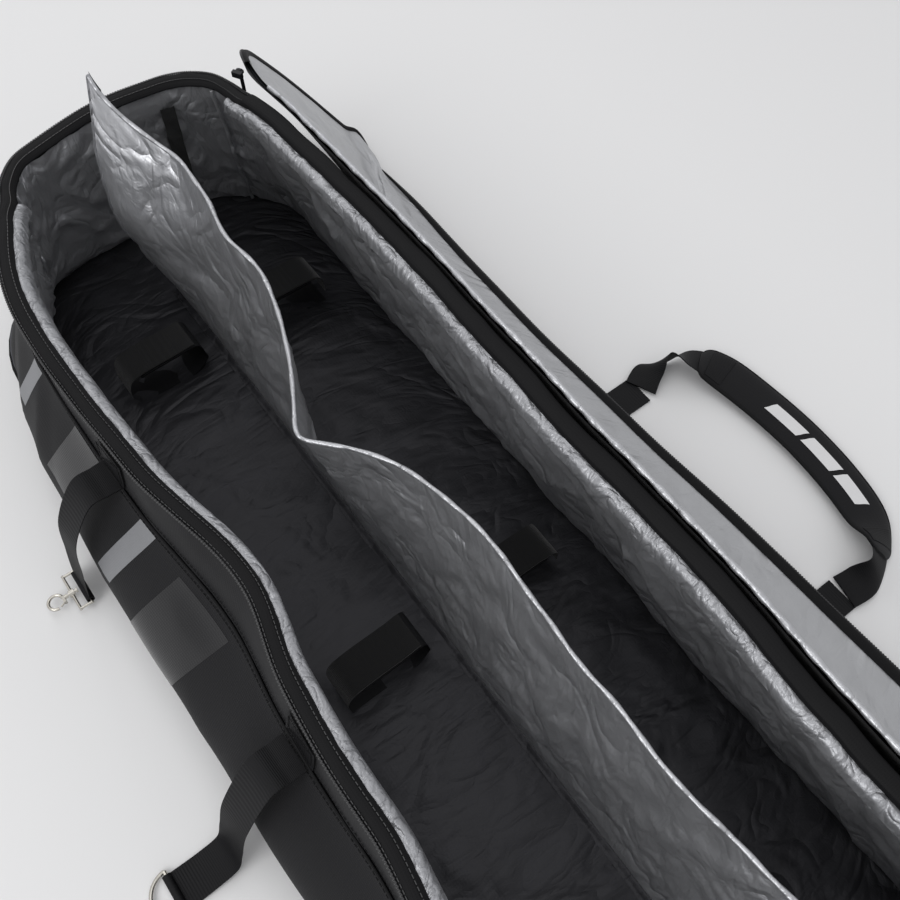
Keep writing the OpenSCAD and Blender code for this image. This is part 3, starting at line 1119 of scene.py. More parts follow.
            def place(u: float, v: float, a: float = s0, b: float = s1) -> Vector:
                """Point of the film, drawn back into its corner seams."""
                edge = min(u, 1 - u) * (b - a)
                point = self.inside(a + (b - a) * u, v)
                out = self.plan.walk(a + (b - a) * u)[1]
                return point + out * (0.004 * ramp(0.012, 0.0, edge))

            size = (s1 - s0, 0.235)
            piece = cloth(name, (int(size[0] / 0.0055), 44), place, size, 0.5 * MM, turned=True)
            settle(piece, Cloth.FILM, "tub", nodes[i])
            self.corner_seam(f"corner_seam_{i}", s1)

    def corner_seam(self, name: str, s: float) -> None:
        """Rolled seam down an inner corner."""
        out = self.plan.walk(s)[1]
        side = Vector((-out.y, out.x, 0))

        def path(t: float) -> Frame:
            """Centre and directions of the roll."""
            return self.inside(s, t) - out * 0.001, side, out

        piece = tube(name, path, 0.22, lambda t: 2.2 * MM, 30, 8)
        settle(piece, Cloth.FILM, "tub")

    def rim_strip(
        self,
        name: str,
        section: Sequence[tuple[float, float]],
        s0: float,
        s1: float,
        thick: float,
        pucker: float = 0.0,
    ) -> bpy.types.Object:
        """Strip with a bent section that follows the rim.

        Args:
            name: The piece's name.
            section: Distance in from or out of the rim, and height, of each bend.
            s0: Where it starts on the walk.
            s1: Where it ends.
            thick: Its thickness.
            pucker: Height of its small gathers.

        Returns:
            The piece, not yet dressed.
        """
        points = [Vector((a, b, 0)) for a, b in section]

        def place(u: float, v: float) -> Vector:
            """Point of the strip."""
            s = s0 + (s1 - s0) * u
            bend = through(points, v)
            centre, out = self.plan.walk(s)
            wobble = 0.0007 * noise.noise(Vector((centre.x * 30 + out.x * 4, out.y * 5, v * 2)))
            if pucker:
                p = Vector((centre.x + out.x * 0.1, out.y * 0.1, v * 0.03))
                wobble += pucker * (
                    crumple(p, 0.030, 6.0) - 0.4
                ) * math.sin(math.pi * (0.15 + 0.85 * v))
            return self.plan.at(s, self.plan.rim_r + bend.x + wobble, bend.y + wobble)

        return cloth(name, (int((s1 - s0) / 0.005), 12), place, (s1 - s0, 0.022), thick)

    def build_rim(self) -> None:
        """Zip tape, coil, seam strips and hinge binding."""
        plan, m = self.plan, self.plan.marks
        rim = plan.rim
        tape = self.rim_strip(
            "rim_tape",
            [
                (0.0015, rim - 0.0075),
                (0.0016, rim - 0.001),
                (-0.004, rim + 0.0012),
                (-0.011, rim),
                (-0.0155, rim - 0.005),
            ],
            m[1] - 0.004, m[8] + 0.004, 0.9 * MM,
        )
        settle(tape, Cloth.TAPE, "tub", "tub_zip_tape")
        run = m[8] - m[1]

        def coil(t: float) -> Frame:
            """Centre and directions of the coil."""
            s = m[1] + run * t
            return plan.at(s, plan.rim_r + 0.0022, rim - 0.0006), plan.walk(s)[1], UP

        teeth = coil_tube("rim_coil", coil, run)
        settle(teeth, Cloth.COIL, "tub", "tub_zip_coil")
        for name, s0, s1, nodes in (
            ("zip_side_seam", m[4] - 0.05, m[5] + 0.05, ["rim_seam"]),
            ("hinge_side_seam", m[0] - 0.05, m[1] + 0.05, []),
        ):
            seam = self.rim_strip(
                name,
                [
                    (-0.0135, rim - 0.0045),
                    (-0.018, rim - 0.0040),
                    (-0.0235, rim - 0.0075),
                    (-0.0255, rim - 0.017),
                ],
                s0, s1, 0.6 * MM, 0.0018,
            )
            # The seam strips take the film darkened with painted shade.
            settle(seam, Cloth.SHADED_SEAM_FILM, "tub", *nodes)
        binding = self.rim_strip(
            "hinge_tape",
            [
                (0.004, rim - 0.004),
                (0.0035, rim + 0.0015),
                (-0.004, rim + 0.003),
                (-0.0125, rim + 0.001),
                (-0.0145, rim - 0.006),
            ],
            m[0] - 0.01, m[1] + 0.01, 1.0 * MM,
        )
        settle(binding, Cloth.TAPE, "tub", "hinge_binding")
        for i, inset in enumerate((0.0, -0.0105)):

            def row(t: float, r: float = inset) -> tuple[Vector, Vector]:
                """Stitch line along the rim's tape."""
                s = m[1] + run * t
                return plan.at(s, plan.rim_r + r, rim + 0.0009), UP

            settle(stitches(f"rim_stitch_{i}", row, run, 4.5 * MM), Cloth.COIL, "tub")

    def build_details(self) -> None:
        """Loop tapes, divider foot and prints."""
        m, plan = self.plan.marks, self.plan
        for name, s_mid, nodes in (
            ("far_loop_tape", m[2] - 0.006, ["loop_tapes"]),
            ("near_loop_tape", m[7] - 0.02, []),
        ):

            def place(u: float, v: float, s: float = s_mid) -> Vector:
                """Point of the tape, on the lining."""
                at = self.inside(s + (u - 0.5) * 0.022, 0.24 + 0.66 * v)
                return at - plan.walk(s)[1] * 0.0022

            piece = cloth(name, (6, 40), place, (0.022, 0.14), 1.2 * MM)
            settle(piece, Cloth.PILE, "tub", *nodes)
        foot_low, foot_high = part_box("divider_foot")

        def foot(u: float, v: float) -> Vector:
            """Point of the divider's stitched foot."""
            x = foot_low.x + (foot_high.x - foot_low.x) * u
            y = foot_low.y + (foot_high.y - foot_low.y) * v
            rise = 0.0035 * bell(v, 0.5, 0.2) + 0.001 * noise.noise(Vector((x * 30, y * 40, 0)))
            return Vector((x, y, foot_high.z + rise))

        # The foot strip takes the floor film, dark with painted shade.
        piece = cloth("divider_foot_strip", (240, 8), foot, (1.49, 0.016), 0.8 * MM)
        settle(piece, Cloth.SHADED_FLOOR_FILM, "tub", "divider_foot")
        self.build_prints()

    def print_shape(
        self, name: str, x: float, width: float, z0: float, z1: float, lean: float, ink: Cloth
    ) -> None:
        """Slanted bar of ink on the zip side.

        Args:
            name: The piece's name.
            x: Its middle along the bag.
            width: Its width.
            z0: Its lower edge.
            z1: Its upper edge.
            lean: How far its top is set off along the bag.
            ink: Its finish.
        """
        start = self.plan.marks[4] + self.plan.cx

        def place(u: float, v: float) -> Vector:
            """Point of the print, just proud of the cloth."""
            return self.outside(
                start + x + (u - 0.5) * width + lean * v, z0 + (z1 - z0) * v, 0.35 * MM
            )

        piece = cloth(name, (max(int(width / 0.006), 4), 22), place, (width, z1 - z0))
        settle(piece, ink, "tub")

    def build_prints(self) -> None:
        """Plain slanted bars in place of the printed mark."""
        bars = (
            (-0.615, 0.022, 0.085, 0.155, 0.03, Cloth.INK),
            (-0.385, 0.026, 0.075, 0.158, 0.03, Cloth.INK),
            (-0.49, 0.075, 0.080, 0.156, 0.03, Cloth.GLOSS_INK),
            (-0.29, 0.080, 0.060, 0.150, 0.03, Cloth.GLOSS_INK),
        )
        for i, (x, width, z0, z1, lean, ink) in enumerate(bars):
            self.print_shape(f"print_bar_{i}", x, width, z0, z1, lean, ink)

    def build(self) -> None:
        """Builds the whole tub."""
        self.build_cloth()
        self.build_padding()
        self.build_lining()
        self.build_rim()
        self.build_details()


# ----------------------------------------------------------------- the lid
@dataclass
class Lid:
    """Hinged lid: shell, foam, film, tape and coil over one fold."""

    plan: Plan
    slope: float = math.radians(72)
    turn_z: float = 30 * MM
    far_corner: float = 52 * MM
    hinge: tuple[float, float] = (0.177, 0.238)
    reach: float = 347 * MM

    def edge_y(self, x: float) -> float:
        """Where the lid's free edge lies on the floor; it is gathered up towards the far end."""
        scallop = 0.004 * noise.noise(Vector((x * 6, 2.0, 0)))
        return 0.322 + 0.024 * ramp(-0.40, 0.20, x) + 0.010 * ramp(0.2, 0.7, x) + scallop

    def half(self, w: float, far: bool) -> float:
        """How far the lid reaches to one end.

        Args:
            w: Distance from the hinge.
            far: Whether the far end is meant, whose hinge corner is tighter.

        Returns:
            Distance from the middle of the bag.
        """
        r, c2 = self.plan.rim_r, self.hinge[0] + self.plan.cy
        tight = self.far_corner if far else r
        c1 = self.hinge[0] - self.plan.cy - r + tight
        if w < c1:
            over = min(c1 - w, tight)
            return self.plan.cx + r - tight + math.sqrt(max(tight * tight - over * over, 0.0))
        over = min(max(w - c2, 0.0), r)
        return self.plan.cx + math.sqrt(max(r * r - over * over, 0.0))

    def at(self, x: float, w: float, n: float) -> Vector:
        """Point of the open lid.

        Args:
            x: Place along the bag.
            w: Distance from the hinge along the lid.
            n: Distance out of its outer face.

        Returns:
            The point.
        """
        slope = self.slope - math.radians(15) * ramp(-0.52, -0.82, x)
        y, z = self.hinge
        start = (z - self.turn_z) / math.sin(slope)
        angle = slope
        first = min(w, start)
        y += first * math.cos(slope)
        z -= first * math.sin(slope)
        free = max((w - start) / (self.reach - start), 0.0)
        if w > start:
            corner_y, corner_z = y + (z - 0.002) / math.tan(slope) + 0.004, 0.0015
            edge_y, edge_z = self.edge_y(x), 0.0065
            y0, z0, t = y, z, free
            y = (1 - t) ** 2 * y0 + 2 * t * (1 - t) * corner_y + t * t * edge_y
            z = (1 - t) ** 2 * z0 + 2 * t * (1 - t) * corner_z + t * t * edge_z
            dy = 2 * (1 - t) * (corner_y - y0) + 2 * t * (edge_y - corner_y)
            dz = 2 * (1 - t) * (corner_z - z0) + 2 * t * (edge_z - corner_z)
            angle = math.atan2(-dz, dy)
            z += 0.011 * math.sin(math.pi * t) ** 2 * (1 - 0.5 * ramp(-0.3, 0.3, x))
        y += 0.6 * self.plan.slump(
            Vector((x, self.plan.cy, 0)), Vector((0, 1, 0))
        ) * ramp(0.2, 0.0, w)
        x -= 0.030 * ramp(-0.62, -0.80, x) * bell(w, 0.13, 0.07)
        ripple = free * 0.005 * (1 + noise.noise(Vector((x * 7, w * 3, 2))))
        return Vector((x, y + n * math.sin(angle), max(z + n * math.cos(angle) + ripple, 0.001)))

    def layer(
        self, name: str, n: float, thick: float, inset: float, relief: float, w0: float = 0.006
    ) -> bpy.types.Object:
        """One layer of the lid, in one piece from hinge to edge.

        Args:
            name: The piece's name.
            n: Height of its face out of the lid's outer face.
            thick: Its thickness.
            inset: How far its edge stays inside the rim's line.
            relief: Height of its creases.
            w0: Where it starts from the hinge.

        Returns:
            The piece.
        """
        top = self.reach - inset

        def place(u: float, v: float) -> Vector:
            """Point of the layer."""
            w = w0 + (top - w0) * v
            flat_w = w + inset * (v - 0.5)
            far_x, near_x = inset - self.half(flat_w, True), self.half(flat_w, False) - inset
            x = far_x + (near_x - far_x) * u
            edge = min(1.0, 7 * min(u * 4, (1 - u) * 4, v, (1 - v) * 0.9) + 0.05)
            p = Vector((x + 0.4 * w, w * 1.1, 0.3))
            puff = relief * edge * (
                0.55 * crumple(p, 0.10, 7.0) + 0.45 * (0.5 + 0.5 * noise.noise(p * 9))
            )
            return self.at(x, w, n + puff)

        cells = (300, 70) if relief else (150, 40)
        return cloth(name, cells, place, (1.59, 0.34), thick)

    def join(self, piece: bpy.types.Object, finish: Cloth, *nodes: str) -> None:
        """Dresses a lid piece and bakes its transform; it rides on no body."""
        settle(piece, finish, None, *nodes)
        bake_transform(piece)

    def edge_w(self, t: float, r: float) -> tuple[float, float]:
        """Point of the lid's free edge in its flat plan.

        Args:
            t: From 0 at the near hinge corner, round the edge, to 1 at the far hinge corner.
            r: Corner radius of the line.

        Returns:
            Place along the bag and distance from the hinge.
        """
        cx, c1, c2 = self.plan.cx, self.hinge[0] - self.plan.cy, self.hinge[0] + self.plan.cy
        arc = math.pi / 2 * r
        slack = self.plan.rim_r - self.far_corner
        tight = r - slack
        legs = [arc * 0.9, c2 - c1, arc, 2 * cx, arc, c2 - c1 + slack, math.pi / 2 * tight * 0.9]
        s = t * sum(legs)
        i = 0
        while i < 6 and s > legs[i]:
            s -= legs[i]
            i += 1
        f = s / legs[i]
        if i == 0:
            a = math.radians(-81 + 81 * f)
            return cx + r * math.cos(a), c1 + r * math.sin(a)
        if i == 1:
            return cx + r, c1 + s
        if i == 2:
            a = math.radians(90 * f)
            return cx + r * math.cos(a), c2 + r * math.sin(a)
        if i == 3:
            return cx - s, c2 + r
        if i == 4:
            a = math.radians(90 + 90 * f)
            return -cx + r * math.cos(a), c2 + r * math.sin(a)
        if i == 5:
            return -cx - r, c2 - s
        a = math.radians(180 + 81 * f)
        return -cx - slack + tight * math.cos(a), c1 - slack + tight * math.sin(a)

    def edge_length(self) -> float:
        """Length of the lid's free edge."""
        return 2 * self.plan.cx + 4 * self.plan.cy + 3.8 * math.pi / 2 * self.plan.rim_r

    def build(self) -> None:
        """Builds the lid's layers and edges."""
        rim_r = self.plan.rim_r
        shell = self.layer("lid_shell", 0.6 * MM, 0.9 * MM, 0.004, 0)
        self.join(shell, Cloth.OXFORD, "lid_root_shell", "lid_tip_shell")
        foam = self.layer("lid_foam", 2.2 * MM, 2.4 * MM, 0.012, 0, 0.022)
        self.join(foam, Cloth.FOAM, "lid_root_foam", "lid_tip_foam")
        # The lid's film is set duller as painted sky light.
        film = self.layer("lid_film", 5.4 * MM, 0.5 * MM, 0.006, 10 * MM, 0.020)
        self.join(film, Cloth.SKY_LIT_LID_FILM, "lid_root_lining", "lid_tip_lining")
        length = self.edge_length()
        bends = ((-0.0085, 0.0072), (-0.004, 0.0086), (0.0, 0.0072), (0.0012, 0.003), (-0.006, -0.0002))
        section = [Vector((inward, height, 0)) for inward, height in bends]

        def tape(u: float, v: float) -> Vector:
            """Point of the edge tape, folded over the lid's edge."""
            bend = through(section, v)
            x, w = self.edge_w(u, rim_r + bend.x)
            return self.at(x, w, bend.y)

        piece = cloth("lid_edge_tape", (int(length / 0.006), 12), tape, (length, 0.03), 0.8 * MM)
        self.join(piece, Cloth.TAPE, "lid_root_tapes", "lid_tip_tape")

        def coil(t: float) -> Frame:
            """Centre and directions of the lid's coil."""
            x, w = self.edge_w(t, rim_r + 0.0018)
            x2, w2 = self.edge_w(min(t + 0.002, 1.0), rim_r + 0.0018)
            here, there = self.at(x, w, 0.004), self.at(x2, w2, 0.004)
            up = self.at(x, w, 0.008) - here
            ahead = there - here if t < 0.998 else here - self.at(
                *self.edge_w(t - 0.002, rim_r + 0.0018), 0.004
            )
            return here, ahead.cross(up).normalized(), up.normalized()

        teeth = coil_tube("lid_coil", coil, length)
        self.join(teeth, Cloth.COIL, "lid_tip_coil")

        def roll(t: float) -> Frame:
            """Centre and directions of the seam roll at the hinge."""
            x = (2 * t - 1) * (self.plan.cx - 0.002)
            return self.at(x, 0.006, 0.0055), Vector((0, 1, 0)), UP

        welt = tube(
            "hinge_roll",
            roll,
            2 * self.plan.cx,
            lambda t: (2.9 + 0.5 * math.sin(t * 300)) * MM,
            420,
            10,
        )
        settle(welt, Cloth.FILM, "lid_root", "lid_roll")


# ------------------------------------------------------------- the divider
@dataclass
class Divider:
    """Standing sheet between the two compartments, with its loose far corner."""

    plan: Plan
    foot_y: float = 5 * MM
    foot_z: float = 12 * MM
    far_x: float = -0.708
    near_x: float = 0.780
    top_z: float = 0.2125
    rise: float = 0.070

    def top(self, x: float) -> Vector:
        """Point of the hem's line at place x along the bag."""
        dx = x + 0.330
        reach = 0.105 if dx < 0 else 0.062
        dip = 0.078 * math.exp(-(math.sqrt(dx * dx + 0.012**2) - 0.012) / reach)
        y = 0.050 - dip + 0.008 * bell(x, -0.50, 0.05) - 0.010 * bell(x, -0.56, 0.03)
        y -= 0.012 * ramp(-0.15, 0.0, x) * ramp(0.25, 0.1, x)
        y -= 0.040 * ramp(-0.66, -0.762, x)
        y += 0.003 * noise.noise(Vector((x * 16, 1.0, 0)))
        loose = max((-0.60 - x) / 0.161, 0.0)
        z = self.top_z + 0.014 * ramp(-0.45, -0.62, x) + self.rise * min(loose, 1.05) ** 3
        z += 0.003 * noise.noise(Vector((x * 9, 4.0, 0))) - 0.010 * bell(x, -0.33, 0.05)
        return Vector((x, y, z))

    def at(self, u: float, v: float) -> Vector:
        """Point of the sheet.

        Args:
            u: From 0 at the far edge to 1 at the near edge.
            v: From 0 at the foot to 1 at the hem.

        Returns:
            The point.
        """
        foot_x = self.far_x + (self.near_x - self.far_x) * u
        top_x = -0.762 + (self.near_x + 0.762) * u
        top = self.top(top_x)
        x = foot_x + (top_x - foot_x) * v**1.6
        swing = v**1.25
        y = self.foot_y + (top.y - self.foot_y) * swing
        z = self.foot_z + (top.z - self.foot_z) * v
        loose = ramp(0.10, 0.0, u)
        y -= 0.030 * loose * math.sin(math.pi * v)
        free = math.sin(math.pi * min(v * 1.05, 1.0)) ** 0.7 * (1 - 0.3 * loose)
        p = Vector((x + 0.35 * z, 0.4, z))
        broad = noise.noise(Vector((x * 6 - z * 4, 5.0, z * 3)))
        y += free * (0.010 * broad + 0.011 * (crumple(p, 0.10, 3.0) - 0.45))
        return Vector((x, y, z))

    def build(self) -> None:
        """Builds the sheet, hem, tapes and tab."""
        length = self.near_x + 0.762
        sheet = cloth("divider_sheet", (280, 56), self.at, (length, 0.215), 2.2 * MM)
        settle(sheet, Cloth.FILM, None, "divider_panel", "divider_corner")
        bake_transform(sheet)

        def hem(t: float) -> Frame:
            """Centre and directions of the rolled hem."""
            here, there = self.at(t, 1.0), self.at(min(t + 0.004, 1.0), 1.0)
            ahead = there - here if t < 0.996 else here - self.at(t - 0.004, 1.0)
            side = ahead.cross(UP).normalized()
            return here - Vector((0, 0, 0.001)), side, side.cross(ahead).normalized()

        roll = tube(
            "divider_rolled_hem",
            hem,
            length,
            lambda t: (2.4 + 0.3 * math.sin(t * 260)) * MM,
            420,
            10,
        )
        settle(roll, Cloth.FILM, None, "divider_hem")
        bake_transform(roll)

        def edge(u: float, v: float) -> Vector:
            """Point of the black binding down the far edge."""
            at = self.at(0.0, 0.18 + 0.82 * v)
            inner = self.at(0.006, 0.18 + 0.82 * v)
            side = Vector((0, 1, 0))
            turn = (u - 0.5) * math.pi * 1.1
            outward = (at - inner).normalized() * 0.0015 * math.cos(turn)
            return at + outward + side * 0.0026 * math.sin(turn)

        binding = cloth("divider_far_binding", (8, 60), edge, (0.02, 0.21), 0.6 * MM)
        settle(binding, Cloth.FILM, None)
        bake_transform(binding)

        def tape(u: float, v: float) -> Vector:
            """Point of the near end's hook tape."""
            return self.at(
                1 - 0.0148 + 0.0130 * u - 0.0005, 0.14 + 0.68 * v
            ) + Vector((0, 0.0032, 0))

        hook = cloth("divider_hook_tape", (6, 30), tape, (0.02, 0.15), 1.1 * MM)
        settle(hook, Cloth.PILE, "divider", "divider_near_tape")

        def tab(u: float, v: float) -> Vector:
            """Point of the loose corner's tab."""
            at = self.at(0.0005 + 0.0075 * u, 0.95 + 0.05 * v)
            return at + Vector(
                (-0.003 * (1 - u), -0.0022 + 0.0044 * ramp(0.0, 0.6, v), -0.012 + 0.016 * v)
            )

        loop = cloth("divider_corner_tab", (6, 12), tab, (0.013, 0.025), 1.2 * MM)
        settle(loop, Cloth.PILE, "divider_corner", "divider_tab")


# ---------------------------------------------------------- straps and webs
@dataclass
class SkiStraps:
    """Four hook-and-loop straps that close over the skis."""

    width: float = 42 * MM
    thick: float = 2.0 * MM

    def arch(
        self, low: Vector, high: Vector, rise: float, share: tuple[float, float], side: int
    ) -> list[Vector]:
        """Points over the arch of a closed strap.

        Args:
            low: Lowest corner of the strap's box.
            high: Its highest corner.
            rise: How far above the box's inner face the web lies.
            share: Part of the arch covered, from one foot (0) to the other (1).
            side: 1 where it starts at the low side, -1 at the high side.

        Returns:
            Points along the web.
        """
        span, height = high.y - low.y, high.z - low.z
        x = (low.x + high.x) / 2
        points = []
        for i in range(ARCH_POINTS):
            t = share[0] + (share[1] - share[0]) * i / (ARCH_POINTS - 1)
            angle = math.pi * t
            flat = math.copysign(abs(math.cos(angle)) ** 0.42, math.cos(angle))
            y = (low.y + high.y) / 2 - side * flat * (span / 2 + rise)
            z = low.z + max(math.sin(angle), 0.0) ** 0.42 * (
                height + rise - 0.003 * bell(t, 0.5, 0.12)
            )
            points.append(Vector((x + 0.002 * math.sin(5 * t), y, z)))
        return points

    def build(self) -> None:
        """Builds base web and flap of each strap."""
        for name, side in (("zip_far", 1), ("zip_near", 1), ("hinge_far", -1), ("hinge_near", -1)):
            low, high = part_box(f"strap_{name}_base")
            inner_low, inner_high = Vector(low), Vector(high)
            inner_low.y += self.thick / 2
            inner_high.y -= self.thick / 2
            inner_high.z -= self.thick / 2
            across = [Vector((1, 0, 0))] * 2
            foot = Vector(((low.x + high.x) / 2, low.y if side > 0 else high.y, low.z + 0.001))
            base = [foot, foot + Vector((0, side * 0.04, 0)), foot + Vector((0, side * 0.075, 0))]
            base += list(reversed(self.arch(inner_low, inner_high, -0.001, (0.36, 0.985), side)))
            web = strip(f"ski_strap_{name}_base", base, across, self.width, self.thick, 90)
            settle(web, Cloth.WEBBING, "tub", f"strap_{name}_base")
            flap_points = self.arch(inner_low, inner_high, 0.0026, (0.02, 0.66), side)
            flap = strip(
                f"ski_strap_{name}_flap", flap_points, across, self.width - 0.002, self.thick, 60
            )
            settle(flap, Cloth.PILE, f"flap_{name}", f"strap_{name}_flap")


@dataclass
class SideWebs:
    """Two webs on the zip side, one with a snap hook and one with a ring."""

    tub: Tub
    width: float = 38 * MM
    thick: float = 2.0 * MM

    def patch(self, name: str, x: float, *nodes: str) -> None:
        """Stitched patch on the upper band, with a cross of stitches."""
        plan = self.tub.plan
        start = plan.marks[4] + plan.cx
        half = self.width / 2 + 0.003

        def place(u: float, v: float) -> Vector:
            """Point of the patch."""
            s = start + x + (u - 0.5) * 2 * half
            return self.tub.outside(s, 0.1695 + 0.0335 * v, 1.8 * MM)

        piece = cloth(name, (14, 12), place, (2 * half, 0.034), 1.5 * MM)
        settle(piece, Cloth.WEBBING, "tub", *nodes)
        corners = [(0.08, 0.1), (0.92, 0.1), (0.92, 0.9), (0.08, 0.9), (0.08, 0.1), (0.92, 0.9)]

        def line(t: float) -> tuple[Vector, Vector]:
            """Box of stitches and one diagonal."""
            place_on = min(t, 0.9999) * (len(corners) - 1)
            i = int(place_on)
            f = place_on - i
            a, b = corners[i], corners[i + 1]
            u, v = a[0] + (b[0] - a[0]) * f, a[1] + (b[1] - a[1]) * f
            return place(u, v) + Vector((0, -0.0009, 0)), Vector((0, -1, 0))

        settle(stitches(name + "_stitch", line, 0.21, 3.5 * MM), Cloth.TAPE, "tub")

    def fall(self, body: str, end: Vector, run: list[Vector], twist: float) -> None:
        """Web that leaves the wall, bends over and falls to its fitting.

        Args:
            body: The body it rides on, whose CAD node has the same name.
            end: The fitting's bar.
            run: Points between the bend and the fitting.
            twist: Sideways lean of the web's middle.
        """
        low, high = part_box(body)
        x = (low.x + high.x) / 2
        root = Vector((x, high.y, high.z - 0.001))
        points = [root, root + Vector((0, -0.014, 0.0)), root + Vector((0, -0.036, -0.003))]
        points += run + [end]
        across = []
        for i in range(len(points)):
            t = i / (len(points) - 1)
            lean = twist * math.sin(math.pi * t)
            across.append(Vector((1, lean * 0.5, lean)).normalized())
        web = strip(f"{body}_strip", points, across, self.width, self.thick, 80, 0.0008)
        settle(web, Cloth.WEBBING, body, body)

    def build(self) -> None:
        """Builds the patches, webs and end loops."""
        far_low, far_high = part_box("web_far")
        near_low, near_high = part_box("web_near")
        x_far, x_near = (far_low.x + far_high.x) / 2, (near_low.x + near_high.x) / 2
        self.patch("far_web_patch", x_far, "side_patches")
        self.patch("near_web_patch", x_near)
        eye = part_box("snap_eye")[1]
        bar_y = eye.y - 1.6 * MM
        end = Vector((x_far, bar_y, 0.0135))
        run = [
            Vector((x_far, bar_y + 0.022, 0.118)),
            Vector((x_far, bar_y + 0.010, 0.065)),
            Vector((x_far, bar_y + 0.003, 0.030)),
        ]
        self.fall("web_far", end, run, 0.10)
        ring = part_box("d_ring")[1]
        ring_y = ring.y - 2 * MM
        fall_y = near_low.y + (near_high.y - near_low.y) * 0.42
        run = [
            Vector((x_near, fall_y + 0.022, 0.105)), Vector((x_near, fall_y + 0.006, 0.050)),
            Vector((x_near, fall_y - 0.006, 0.013)), Vector((x_near, fall_y - 0.030, 0.004)),
        ]
        self.fall("web_near", Vector((x_near, ring_y + 0.002, 0.004)), run, 0.14)
        for body, centre in (
            ("web_far", Vector((x_far, bar_y, 0.0104))),
            ("web_near", Vector((x_near, ring_y, 0.0048))),
        ):

            def loop(u: float, v: float, at: Vector = centre) -> Vector:
                """Point of the sewn loop round the bar."""
                turn = math.tau * v
                return at + Vector(
                    ((u - 0.5) * self.width, 0.0033 * math.cos(turn), 0.0033 * math.sin(turn))
                )

            piece = cloth(f"{body}_loop", (10, 16), loop, (self.width, 0.02), 1.0 * MM, True)
            settle(piece, Cloth.WEBBING, body)


